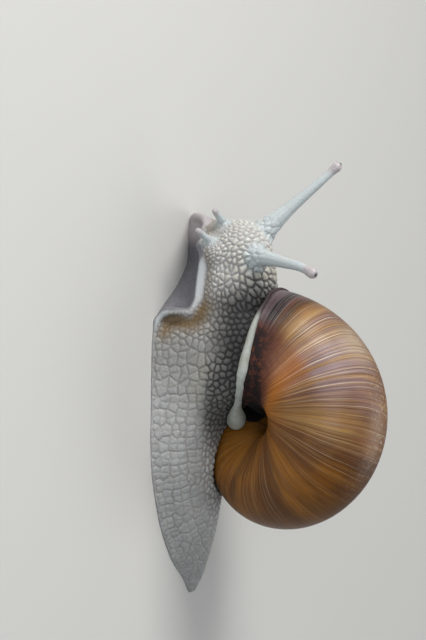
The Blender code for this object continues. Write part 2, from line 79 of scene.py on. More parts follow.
def operator(operation: str, turned: bool = False) -> Callable[["Field", Any], "Field"]:
    """Makes a method that works out a field and another value.

    Args:
        operation: the math node's operation.
        turned: puts the other value first.

    Returns:
        The method.
    """

    def method(self: "Field", other: Any) -> "Field":
        """Feeds both to a math node."""
        return self.net.math(operation, *((other, self) if turned else (self, other)))

    return method


@dataclass(frozen=True)
class Field:
    """A value that flows through a tree, so that formulas read as sums."""

    net: "Net"
    socket: Any

    __add__ = __radd__ = operator("ADD")
    __sub__ = operator("SUBTRACT")
    __rsub__ = operator("SUBTRACT", turned=True)
    __mul__ = __rmul__ = operator("MULTIPLY")
    __truediv__ = operator("DIVIDE")
    __rtruediv__ = operator("DIVIDE", turned=True)
    __pow__ = operator("POWER")

    def abs(self) -> "Field":
        """Size without its sign."""
        return self.net.math("ABSOLUTE", self)

    def clamp(self, high: float = 1.0) -> "Field":
        """The value kept between 0 and a highest one."""
        return self.net.math("MINIMUM", self.net.math("MAXIMUM", self, 0.0), high)

    def step(self, low: float, high: float) -> "Field":
        """Smooth passage from 0 to 1 while the value goes from low to high.

        Args:
            low: where the passage starts.
            high: where it ends; below low, it runs backwards.

        Returns:
            A field from 0 to 1.
        """
        node = self.net.add(
            "ShaderNodeMapRange", {0: self, 1: low, 2: high}, interpolation_type="SMOOTHSTEP"
        )
        return Field(self.net, node.outputs[0])

    def bell(self, width: Any) -> "Field":
        """A hump of 1 where the value is 0, that falls off over a width."""
        return self.net.math("EXPONENT", 0 - (self / width) ** 2)


class Net:
    """Adds nodes to one tree and wires them."""

    def __init__(self, tree: Any) -> None:
        """Starts on a geometry or shader tree."""
        self.tree = tree

    def feed(self, socket: Any, value: Any) -> None:
        """Gives a socket its value.

        Args:
            socket: the socket that takes it.
            value: a field, node, socket or plain value.
        """
        if isinstance(value, Field):
            value = value.socket
        if isinstance(value, bpy.types.Node):
            value = value.outputs[0]
        if isinstance(value, bpy.types.NodeSocket):
            self.tree.links.new(value, socket)
        else:
            socket.default_value = value

    def add(self, kind: str, inputs: dict[Any, Any] | None = None, **settings: Any) -> Any:
        """Adds a node.

        Args:
            kind: Blender's name for the node.
            inputs: what goes into its sockets, by name or number.
            settings: its own options.

        Returns:
            The node.
        """
        node = self.tree.nodes.new(kind)
        for name, value in settings.items():
            setattr(node, name, value)
        for key, value in (inputs or {}).items():
            self.feed(node.inputs[key], value)
        return node

    def math(self, operation: str, *values: Any) -> Field:
        """A math node as a field."""
        node = self.add("ShaderNodeMath", dict(enumerate(values)), operation=operation)
        return Field(self, node.outputs[0])

    def vector(self, x: Any, y: Any, z: Any) -> Any:
        """A vector from three values."""
        return self.add("ShaderNodeCombineXYZ", {0: x, 1: y, 2: z}).outputs[0]

    def mix(self, factor: Any, a: Any, b: Any) -> Any:
        """One colour laid over another by a factor, which is kept between 0 and 1."""
        node = self.add("ShaderNodeMix", {0: factor, 6: rgba(a), 7: rgba(b)}, data_type="RGBA")
        return node.outputs[2]

    def layers(self, base: Any, *coats: tuple[Any, Any]) -> Any:
        """Lays colours over one another.

        Args:
            base: the colour below.
            coats: factor and colour of each layer.

        Returns:
            The colour on top.
        """
        for factor, colour in coats:
            base = self.mix(factor, base, colour)
        return base

    def curve(self, value: Any, points: Sequence[tuple[float, float]]) -> Field:
        """Reads a smooth curve.

        Args:
            value: where the curve is read.
            points: places on the curve, between 0 and 1.

        Returns:
            The height of the curve.
        """
        node = self.add("ShaderNodeFloatCurve", {"Value": value})
        line = node.mapping.curves[0]
        while len(line.points) < len(points):
            line.points.new(0.5, 0.5)
        for spot, (x, y) in zip(line.points, points):
            spot.location = (x, y)
            spot.handle_type = "AUTO_CLAMPED"
        node.mapping.update()
        return Field(self, node.outputs[0])

    def noise(self, at: Any, scale: float, detail: float, rough: float) -> Field:
        """Noise from 0 to 1 round a half.

        Args:
            at: the place that it is read at.
            scale: patches to a unit.
            detail: how many finer layers it has.
            rough: how strong they are.

        Returns:
            The noise.
        """
        node = self.add("ShaderNodeTexNoise", {
            "Vector": at, "Scale": scale, "Detail": detail, "Roughness": rough,
        })
        return Field(self, node.outputs[0])

    def cells(self, at: Any, scale: float, feature: str = "F1") -> Field:
        """Distance from the middle of a random cell, or from its edge."""
        node = self.add("ShaderNodeTexVoronoi", {"Vector": at, "Scale": scale}, feature=feature)
        return Field(self, node.outputs["Distance"])


def rgba(value: Any) -> Any:
    """A plain colour with its alpha, or the socket as it is."""
    return (*value, 1.0) if isinstance(value, tuple) and len(value) == 3 else value


class Tree(Net):
    """A geometry tree with named inputs, run once on an object."""

    TYPES = {float: "Float", int: "Int", Vector: "Vector", bpy.types.Material: "Material"}

    def __init__(self, name: str, sizes: dict[str, Any]) -> None:
        """Makes the tree and its inputs.

        Args:
            name: the tree's name.
            sizes: its named inputs and what they are set to.
        """
        super().__init__(bpy.data.node_groups.new(name, "GeometryNodeTree"))
        face = self.tree.interface
        face.new_socket("Geometry", in_out="INPUT", socket_type="NodeSocketGeometry")
        face.new_socket("Geometry", in_out="OUTPUT", socket_type="NodeSocketGeometry")
        self.values = {}
        for label, value in sizes.items():
            kind = next(word for type_, word in self.TYPES.items() if isinstance(value, type_))
            item = face.new_socket(label, in_out="INPUT", socket_type="NodeSocket" + kind)
            self.values[item.identifier] = value
        self.entry = self.add("NodeGroupInput")
        self.exit = self.add("NodeGroupOutput")

    def __getitem__(self, label: str) -> Field:
        """A named input."""
        return Field(self, self.entry.outputs[label])

    def named(self, name: str) -> Field:
        """A number kept at the points of the mesh that comes in."""
        node = self.add("GeometryNodeInputNamedAttribute", {"Name": name}, data_type="FLOAT")
        return Field(self, node.outputs[0])

    def store(self, geometry: Any, name: str, value: Any) -> Any:
        """Keeps a number at every point.

        Args:
            geometry: the mesh.
            name: the number's name.
            value: the number.

        Returns:
            The node.
        """
        return self.add(
            "GeometryNodeStoreNamedAttribute",
            {"Geometry": geometry, "Name": name, "Value": value}, data_type="FLOAT", domain="POINT",
        )

    def pushed(self, geometry: Any, height: Field) -> Any:
        """Moves every point outwards.

        Args:
            geometry: the mesh.
            height: how far, in millimetres.

        Returns:
            The node.
        """
        normal = self.add("GeometryNodeInputNormal")
        push = self.add(
            "ShaderNodeVectorMath", {0: normal, "Scale": height * MM}, operation="SCALE"
        )
        return self.add("GeometryNodeSetPosition", {"Geometry": geometry, "Offset": push})

    def close(self, geometry: Any) -> None:
        """Ends the tree in smooth plain faces, with the input named Finish as their material.

        Args:
            geometry: what the tree has made.
        """
        smooth = self.add("GeometryNodeSetShadeSmooth", {"Geometry": geometry})
        real = self.add("GeometryNodeRealizeInstances", {"Geometry": smooth})
        done = self.add("GeometryNodeSetMaterial", {"Geometry": real, "Material": self["Finish"]})
        self.feed(self.exit.inputs[0], done)

    def run(self, name: str, host: Any = None) -> Any:
        """Makes the tree's result a plain mesh object.

        Args:
            name: the object's name.
            host: the object whose mesh goes in; none for an empty one.

        Returns:
            The new object.
        """
        source = host or new_object(name + "_source", bpy.data.meshes.new(name))
        modifier = source.modifiers.new(name, "NODES")
        modifier.node_group = self.tree
        for identifier, value in self.values.items():
            modifier[identifier] = value
        mesh = evaluated(source)
        source.modifiers.remove(modifier)
        if host is None:
            bpy.data.objects.remove(source)
        bpy.data.node_groups.remove(self.tree)
        return new_object(name, mesh)


# ---------------------------------------------------------------- meshes


def new_object(name: str, mesh: Any) -> Any:
    """Adds an object at the origin.

    Args:
        name: its name.
        mesh: its mesh.

    Returns:
        The object.
    """
    obj = bpy.data.objects.new(name, mesh)
    bpy.context.scene.collection.objects.link(obj)
    return obj


def evaluated(obj: Any) -> Any:
    """A plain mesh of the object with its modifiers."""
    graph = bpy.context.evaluated_depsgraph_get()
    return bpy.data.meshes.new_from_object(obj.evaluated_get(graph), depsgraph=graph)


def finished(obj: Any, **steps: dict[str, Any]) -> Any:
    """Runs modifiers on the object and keeps their result as its mesh.

    Args:
        obj: the object.
        steps: settings of each modifier, under its type in small letters.

    Returns:
        The same object.
    """
    for kind, settings in steps.items():
        modifier = obj.modifiers.new(kind, kind.upper())
        for name, value in settings.items():
            setattr(modifier, name, value)
    mesh = evaluated(obj)
    obj.modifiers.clear()
    obj.data = mesh
    return obj


def read(items: Any, name: str, width: int, kind: type = np.float32) -> np.ndarray:
    """Reads one property of each item of a mesh.

    Args:
        items: the vertices, edges or normals of a mesh.
        name: the property.
        width: how many numbers it has.
        kind: the type of the numbers.

    Returns:
        A row to each item.
    """
    flat = np.empty(len(items) * width, kind)
    items.foreach_get(name, flat)
    return flat.reshape(-1, width)


def points_of(mesh: Any) -> np.ndarray:
    """Every vertex in millimetres."""
    return read(mesh.vertices, "co", 3).astype(float) / MM


def move_points(mesh: Any, points: np.ndarray) -> None:
    """Puts every vertex where it is given, in millimetres."""
    mesh.vertices.foreach_set("co", (points * MM).astype(np.float32).ravel())
    mesh.update()


def normals_of(mesh: Any) -> np.ndarray:
    """The outward direction at every vertex."""
    return read(mesh.vertex_normals, "vector", 3).astype(float)


def edges_of(mesh: Any) -> np.ndarray:
    """The two vertices of every edge."""
    return read(mesh.edges, "vertices", 2, np.int32)


def keep_number(mesh: Any, name: str, values: np.ndarray) -> None:
    """Stores a number at every vertex under a name."""
    layer = mesh.attributes.get(name) or mesh.attributes.new(name, "FLOAT", "POINT")
    layer.data.foreach_set("value", values.astype(np.float32))


def smoothed(values: np.ndarray, edges: np.ndarray, rounds: int, volume: bool = True) -> np.ndarray:
    """Evens out numbers or places over the edges of a mesh.

    Args:
        values: one row to a vertex.
        edges: the mesh's edges.
        rounds: how many times.
        volume: pushes back after every round, so that nothing shrinks.

    Returns:
        The even rows.
    """
    values = values.astype(float)
    flat = values.ndim == 1
    rows = values[:, None] if flat else values.copy()
    count = np.bincount(edges.ravel(), minlength=len(rows))[:, None].clip(1)
    for _ in range(rounds):
        for share in ((0.5, -0.53) if volume else (0.5,)):
            total = np.stack([
                np.bincount(edges[:, 0], column[edges[:, 1]], len(rows))
                + np.bincount(edges[:, 1], column[edges[:, 0]], len(rows))
                for column in rows.T
            ], axis=1)
            rows = rows + share * (total / count - rows)
    return rows[:, 0] if flat else rows


def in_order(obj: Any) -> None:
    """Sorts a mesh's vertices and faces by place, so that every run numbers them alike.

    Args:
        obj: the object, which gets a new mesh.
    """
    points = points_of(obj.data)
    rank = np.lexsort(points.round(4).T)
    number = np.empty(len(rank), int)
    number[rank] = np.arange(len(rank))
    rings = []
    for face in obj.data.polygons:
        ring = number[list(face.vertices)].tolist()
        first = ring.index(min(ring))
        rings.append(ring[first:] + ring[:first])
    mesh = bpy.data.meshes.new(obj.data.name)
    mesh.from_pydata((points[rank] * MM).tolist(), [], sorted(rings))
    obj.data = mesh


def fade(values: Any, low: float, high: float) -> Any:
    """Smooth passage from 1 to 0 while values go from low to high."""
    return 1 - ease(values, low, high)


def ease(values: Any, low: float, high: float) -> Any:
    """Smooth passage from 0 to 1 while values go from low to high."""
    share = np.clip((values - low) / (high - low), 0, 1)
    return share * share * (3 - 2 * share)


def bell(values: np.ndarray, width: Any) -> np.ndarray:
    """A hump of 1 where values are 0, that falls off over a width."""
    return np.exp(-((values / width) ** 2))


def through(stations: Sequence[Sequence[float]], samples: int) -> np.ndarray:
    """Draws a smooth curve through stations.

    Args:
        stations: rows of numbers.
        samples: how many rows to make for each span.

    Returns:
        The rows along the curve.
    """
    rows = np.array([stations[0], *stations, stations[-1]], float)
    found = []
    for p, q, r, s in zip(rows, rows[1:], rows[2:], rows[3:]):
        for t in np.arange(samples) / samples:
            found.append(0.5 * (2 * q + (r - p) * t + (2 * p - 5 * q + 4 * r - s) * t**2
                                + (3 * q - p - 3 * r + s) * t**3))
    return np.array([*found, rows[-1]])


def tree_of(points: np.ndarray) -> KDTree:
    """Makes a search tree.

    Args:
        points: places, one to a row.

    Returns:
        The tree, which gives back row numbers.
    """
    found = KDTree(len(points))
    for index, point in enumerate(points):
        found.insert(point, index)
    found.balance()
    return found


def nearest(points: np.ndarray, spots: np.ndarray) -> tuple[np.ndarray, np.ndarray]:
    """Finds the nearest point to each spot.

    Args:
        points: where to look.
        spots: what to look for.

    Returns:
        For each spot, the row of the nearest point and how far it is.
    """
    tree = tree_of(points)
    hits = [tree.find(spot) for spot in spots]
    return np.array([hit[1] for hit in hits]), np.array([hit[2] for hit in hits])


# ---------------------------------------------------------------- finishes


class Gloss(Enum):
    """How wet or dry a surface is: roughness and weight of the clear coat."""

    WET = (0.32, 0.35)
    MOIST = (0.34, 0.22)
    POLISHED = (0.34, 0.06)
    CHALKY = (0.62, 0.0)
    MATT = (0.9, 0.0)


@dataclass(frozen=True)
class Finish:
    """A material, built on one shader."""

    name: str
    gloss: Gloss
    coat_roughness: float = 0.18

    def build(self) -> Any:
        """Makes the material.

        Returns:
            The material, with its colour and relief wired by paint().
        """
        material = bpy.data.materials.new(self.name)
        material.use_nodes = True
        net = Net(material.node_tree)
        shader = material.node_tree.nodes["Principled BSDF"]
        roughness, coat = self.gloss.value
        self.set(shader, {
            "Roughness": roughness, "Coat Weight": coat, "Coat Roughness": self.coat_roughness,
        })
        self.paint(net, shader)
        return material

    def paint(self, net: Net, shader: Any) -> None:
        """Wires colour and relief into the shader; the plain finish wires none."""

    @staticmethod
    def set(shader: Any, values: dict[str, Any]) -> None:
        """Sets what is the same all over the surface."""
        for name, value in values.items():
            shader.inputs[name].default_value = value

    @staticmethod
    def here(net: Net) -> Any:
        """Places on the object, in metres."""
        return net.add("ShaderNodeTexCoord").outputs["Object"]

    @staticmethod
    def number(net: Net, name: str) -> Field:
        """A number kept on the mesh."""
        node = net.add("ShaderNodeAttribute", attribute_name=name)
        return Field(net, node.outputs["Fac"])

    @staticmethod
    def bump(net: Net, shader: Any, height: Any, depth: float, strength: float = 1.0) -> None:
        """Relief finer than the mesh.

        Args:
            net: the material's net.
            shader: the shader that takes it.
            height: its height, from 0 to 1.
            depth: what 1 stands for, in millimetres.
            strength: how much of it shows.
        """
        node = net.add(
            "ShaderNodeBump", {"Height": height, "Distance": depth * MM, "Strength": strength}
        )
        net.feed(shader.inputs["Normal"], node.outputs[0])


@dataclass(frozen=True)
class SkinFinish(Finish):
    """Moist snail skin: pale pimples, brown-grey furrows, tints by place, and painted shade."""

    cream: Colour = (0.51, 0.505, 0.465)
    rim: Colour = (0.60, 0.64, 0.68)
    pale: Colour = (0.60, 0.61, 0.59)
    plate: Colour = (0.325, 0.33, 0.335)
    straw: Colour = (0.37, 0.345, 0.255)
    furrow: Colour = (0.15, 0.125, 0.10)
    lilac: Colour = (0.25, 0.235, 0.27)
    painted_shadow: Colour = (0.022, 0.024, 0.028)
    night: Colour = (0.014, 0.010, 0.007)
    # brown under the fold of the foot, partly painted shade in the hollow there
    umber: Colour = (0.185, 0.115, 0.042)
    # lilac grey of the sole, made darker partly as painted shade
    sole: Colour = (0.15, 0.148, 0.175)
    horn: Colour = (0.44, 0.50, 0.525)
    bulb: Colour = (0.42, 0.38, 0.405)
    cloud_scale: float = 420
    grain_scale: float = 2600
    pimple_scale: float = 1100
    crack_scale: float = 1500
    dot_scale: float = 2700
    rib_pitch: float = 13.0
    relief: float = 0.06
    shine: float = 0.42
    soft_weight: float = 0.12
    soft_depth: float = 0.6 * MM
    soft_reach: Colour = (1.0, 0.6, 0.4)

    def paint(self, net: Net, shader: Any) -> None:
        """Wires colour and relief into the shader.

        Args:
            net: the material's net.
            shader: the shader that takes them.
        """
        at = self.here(net)
        (gap, groove, foot, tone, shade, neck, cream, rim, umber, sole, horn, bulb, line,
         calm) = (
            self.number(net, name)
            for name in ("gap", "groove", "foot", "tone", "shade", "neck", "cream", "rim", "umber",
                         "sole", "horn", "bulb", "line", "calm")
        )
        # unevenness, ribs of the rim, and fine cracks of the plates
        cloud = net.noise(at, self.cloud_scale, 3, 0.6)
        grain = net.noise(at, self.grain_scale, 2, 0.6)
        pimples = net.noise(at, self.pimple_scale, 2, 0.5)
        ribs = net.math("SINE", self.number(net, "arc") * self.rib_pitch) * 0.5 + 0.5
        ribs = ribs * rim * cloud.step(0.4, 0.62)
        crack = net.cells(at, self.crack_scale, "DISTANCE_TO_EDGE").step(0.14, 0.0)
        crack = crack * foot * (1 - calm)
        dots = net.cells(at, self.dot_scale)
        # furrows round the cells, grooves round the plates, and the hollow beside them
        shake = (grain - 0.5) * 0.06
        fine = (gap + shake).bell(0.13 + neck * 0.035 + foot * 0.02) * (1 - foot * 0.55)
        wide = (groove + shake).bell(0.17) * foot * 0.8
        furrow = net.math("MAXIMUM", fine, wide) * (1 - calm) * (0.8 + cloud.step(0.35, 0.65) * 0.2)
        hollow = (1 - gap.step(0.0, 0.34)) * (1 - calm) * (1 - foot * 0.7)

        # colour, from the cells up to what lies over them
        deep = net.mix(cream, self.furrow, self.lilac)
        deepest = net.layers(deep, (umber * 0.5, self.umber), (neck, self.night))
        mottle = tone * (0.4 - foot * 0.2) + (cloud - 0.5) * (0.5 - foot * 0.2)
        sheen = ((grain - 0.5) * 0.6 + 0.06) * (1 - shade * 0.9) * (1 - umber * 0.6)
        skin = net.layers(
            net.mix(cream, self.plate, self.cream),
            (neck * (0.6 - shade * 0.5), self.straw),
            (mottle, self.pale),
            (rim * 0.8, self.rim),
            (ribs * 0.14, self.furrow),
            (hollow * 0.3, deep),
            # brown under the fold, partly painted shade in the hollow there
            (umber * (0.95 + cloud * 0.3), self.umber),
            # painted shadow of the shell by its lip, and painted shade round the neck's cells
            (shade * 0.92 + neck * hollow * 0.22, self.painted_shadow),
            (furrow * (0.52 - foot * 0.17 + neck * 0.44), deepest),
            (crack * 0.2, self.furrow),
            (line * 0.6, self.lilac),
            # the sole's lilac grey, darker partly as painted shade
            (sole, net.mix(bulb, self.sole, self.bulb)),
            (horn * (1 - (furrow + hollow * 0.3) * 0.6).clamp(), self.horn),
            (bulb * (1 - sole), self.bulb),
            (horn * (0.62 - dots) * 0.9, self.pale),
            (sheen, self.pale),
        )
        roughness, coat = self.gloss.value
        net.feed(shader.inputs["Base Color"], skin)
        net.feed(shader.inputs["Roughness"], roughness + grain * 0.2 + shade * 0.3)
        net.feed(shader.inputs["Coat Weight"], coat - shade * 0.2)
        self.set(shader, {
            "Subsurface Weight": self.soft_weight, "Subsurface Scale": self.soft_depth,
            "Subsurface Radius": self.soft_reach, "Specular IOR Level": self.shine,
        })
        height = grain * 0.4 + pimples * (1 - horn) * 0.6 - dots * horn * 0.8
        height = height - furrow * 1.2 - ribs * 0.25 - crack * 0.4
        self.bump(net, shader, height, self.relief, 0.6)


@dataclass(frozen=True)
class ShellFinish(Finish):
    """Polished horn-brown shell with growth streaks, and painted shade in its navel."""

    amber: Colour = (0.315, 0.118, 0.008)
    umber: Colour = (0.092, 0.031, 0.004)
    tan: Colour = (0.43, 0.245, 0.07)
    cream: Colour = (0.66, 0.54, 0.38)
    orange: Colour = (0.44, 0.135, 0.010)
    violet_and_sheen: Colour = (0.235, 0.168, 0.19)
    plum: Colour = (0.12, 0.08, 0.09)
    rust: Colour = (0.13, 0.035, 0.018)
    ink: Colour = (0.007, 0.005, 0.006)
    worn: Colour = (0.60, 0.52, 0.45)
    relief: float = 0.08
    shine: float = 0.28

    def paint(self, net: Net, shader: Any) -> None:
        """Wires colour and relief into the shader.

        Args:
            net: the material's net.
            shader: the shader that takes them.
        """
        at = self.here(net)
        growth, across = self.number(net, "growth"), self.number(net, "across")
        inside, navel_shade = self.number(net, "inside"), self.number(net, "navel_shade")
        wander = (net.noise(at, 70, 2, 0.5) - 0.5) * 0.005

        def streaks(count: float, length: float, seed: float) -> Field:
            """Noise drawn out along the growth lines: so many to a turn, so long."""
            lines = net.vector((growth + wander) * count, across * length, seed)
            return net.noise(lines, 1.0, 3, 0.6)

        # growth streaks, from broad to fine, and patches that cross them
        broad, band, line = streaks(18, 0.4, 0.0), streaks(60, 0.3, 2.0), streaks(170, 0.14, 3.0)
        hair, dark_line = streaks(430, 0.17, 7.0), streaks(260, 0.17, 11.0)
        cloud = net.noise(at, 130, 3, 0.6)
        blotch = net.noise(at, 75, 2, 0.5)
        fleck = net.noise(at, 1500, 2, 0.6)
        # places: across the whorl, and along it back from the lip
        navel = across.step(-1.4, -2.1)
        middle = across.step(-1.95, -1.3) * across.step(0.35, -0.35)
        rim = across.step(-0.6, 0.35)
        late = growth.step(-0.32, -0.17) * growth.step(-0.04, -0.08)
        early = growth.step(-0.2, -0.4)
        edge = growth.step(-0.062, -0.022)

        glow = navel * (1 - edge) * growth.step(-0.5, -0.15)
        flush = streaks(11, 0.5, 41.0).step(0.46, 0.62) * growth.step(-0.45, -0.3) * (1 - edge)
        bright = hair.step(0.55, 0.7) * (0.3 - early * 0.12 + middle * (0.15 + late * 0.4))
        # a pale blotch on the last whorl, partly a painted highlight
        patch = ((growth + 0.125) / 0.03) ** 2 + ((across + 0.3) / 0.4) ** 2
        patch = net.math("EXPONENT", 0 - patch)
        dark = dark_line.step(0.48, 0.64)
        worn = rim * fleck.step(0.54, 0.62) * line.step(0.42, 0.56) * (1 - early)
        bands = streaks(150, 0.12, 17.0) * 0.6 + streaks(60, 0.3, 23.0) * 0.6
        # the dark edge by the lip
        ink = net.layers(
            net.mix(bands.step(0.53, 0.68) * (0.55 + fleck * 0.6), self.ink, self.plum),
            (hair.step(0.56, 0.7) * 0.35, self.worn),
            (streaks(80, 0.2, 29.0).step(0.48, 0.6) * 0.75, self.rust),
        )
        # painted shade in the hollow round the navel, over dark rust specks
        fold = growth + (-1.57 - across).clamp(2.0) * 0.143 + (fleck - 0.5) * 0.02
        behind = across.step(-1.25, -1.6) * growth.step(-0.4, -0.3)
        ember = (fold + 0.12).bell(0.036) * behind
        hollow = fold.step(-0.085, -0.015) * behind
        speck = net.noise(at, 900, 3, 0.7).step(0.47, 0.66) * (1 - navel_shade.step(0.2, 0.5))
        navel_shade = (navel_shade + (fleck - 0.5) * 0.3).step(0.3, 0.7)
        coil = net.layers(
            net.mix(broad.step(0.34, 0.62), self.umber, self.amber),
            (glow * (0.3 + broad * 0.9), self.orange),
            # violet tint in the middle of the last whorl, partly painted sheen
            (middle * late * (0.5 + broad * 0.7), self.violet_and_sheen),
            (rim * broad.step(0.3, 0.6) * 0.5, self.umber),
            (blotch.step(0.42, 0.62) * 0.6 * (1 - glow * 0.6), self.umber),
            (flush * (0.16 + middle * 0.14), self.tan),
            (band.step(0.5, 0.68) * (0.3 + middle * late * 0.45), self.tan),
            (line.step(0.5, 0.66) * (0.34 - early * 0.08), self.tan),
            (bright, self.cream),
            # the pale blotch, partly a painted highlight
            (patch * (0.2 + cloud * 0.8), self.cream),
            (dark * (0.58 + navel * (1 - edge) * 0.3), self.umber),
            (early * (0.1 + cloud * 0.5) * (0.5 + rim * 0.5), self.umber),
            (across.step(-0.9, -0.1) * (0.1 + cloud * 0.3), self.umber),
            (worn * 0.6, self.worn),
            (edge * (0.75 + bands * 0.5), ink),
            (ember * (0.2 + cloud * 0.7), self.orange),
            (fold.step(-0.115, -0.055) * behind * 0.85, self.rust),
            (hollow, net.mix(broad * 0.08 + speck * 0.6, self.ink, self.rust)),
            # painted shadow deep in the navel
            (navel_shade, self.ink),
            (inside, self.plum),
        )
        dull = net.math("MAXIMUM", hollow, navel_shade)
        roughness, coat = self.gloss.value
        net.feed(shader.inputs["Base Color"], coil)
        net.feed(shader.inputs["Roughness"], roughness + cloud * 0.14 + worn * 0.3 + dull * 0.4)
        net.feed(shader.inputs["Coat Weight"], coat * (1 - dull))
        self.set(shader, {"Specular IOR Level": self.shine})
        height = hair * 0.6 + line * 0.7 + band * 0.6 + fleck * 0.15
        height = height + edge * bands * 1.2 - dark * 0.4
        self.bump(net, shader, height, self.relief, 0.8)


@dataclass(frozen=True)
class LipFinish(Finish):
    """Chalky pale rim of the shell."""

    chalk: Colour = (0.39, 0.42, 0.40)
    dusty: Colour = (0.27, 0.28, 0.23)
    pitted: Colour = (0.14, 0.13, 0.11)
    stain: Colour = (0.045, 0.028, 0.03)

    def paint(self, net: Net, shader: Any) -> None:
        """Wires colour and relief into the shader.

        Args:
            net: the material's net.
            shader: the shader that takes them.
        """
        at = self.here(net)
        cloud = net.noise(at, 500, 3, 0.6)
        worn = net.noise(at, 1500, 3, 0.65).step(0.58, 0.72) * 0.35
        dust = cloud.step(0.3, 0.7) * 0.75
        chalk = net.layers(self.chalk, (dust, self.dusty), (worn, self.pitted))
        colour = net.mix(self.number(net, "bare"), self.stain, chalk)
        net.feed(shader.inputs["Base Color"], colour)
        self.bump(net, shader, net.noise(at, 1800, 3, 0.6) - worn * 0.6, 0.07, 0.7)


@dataclass(frozen=True)
class EyeFinish(Finish):
    """Dark eye seen through the skin of the tip."""

    pupil: Colour = (0.07, 0.06, 0.07)
    glint: Colour = (0.12, 0.11, 0.12)

    def paint(self, net: Net, shader: Any) -> None:
        """Wires colour into the shader."""
        speck = net.noise(self.here(net), 3000, 2, 0.5)
        net.feed(shader.inputs["Base Color"], net.mix(speck * 0.3, self.pupil, self.glint))


@dataclass(frozen=True)
class FloorFinish(Finish):
    """Plain pale floor."""

    paper: Colour = (0.62, 0.62, 0.60)

    def paint(self, net: Net, shader: Any) -> None:
        """Sets the floor's colour on the shader."""
        self.set(shader, {"Base Color": rgba(self.paper)})


# ---------------------------------------------------------------- shell


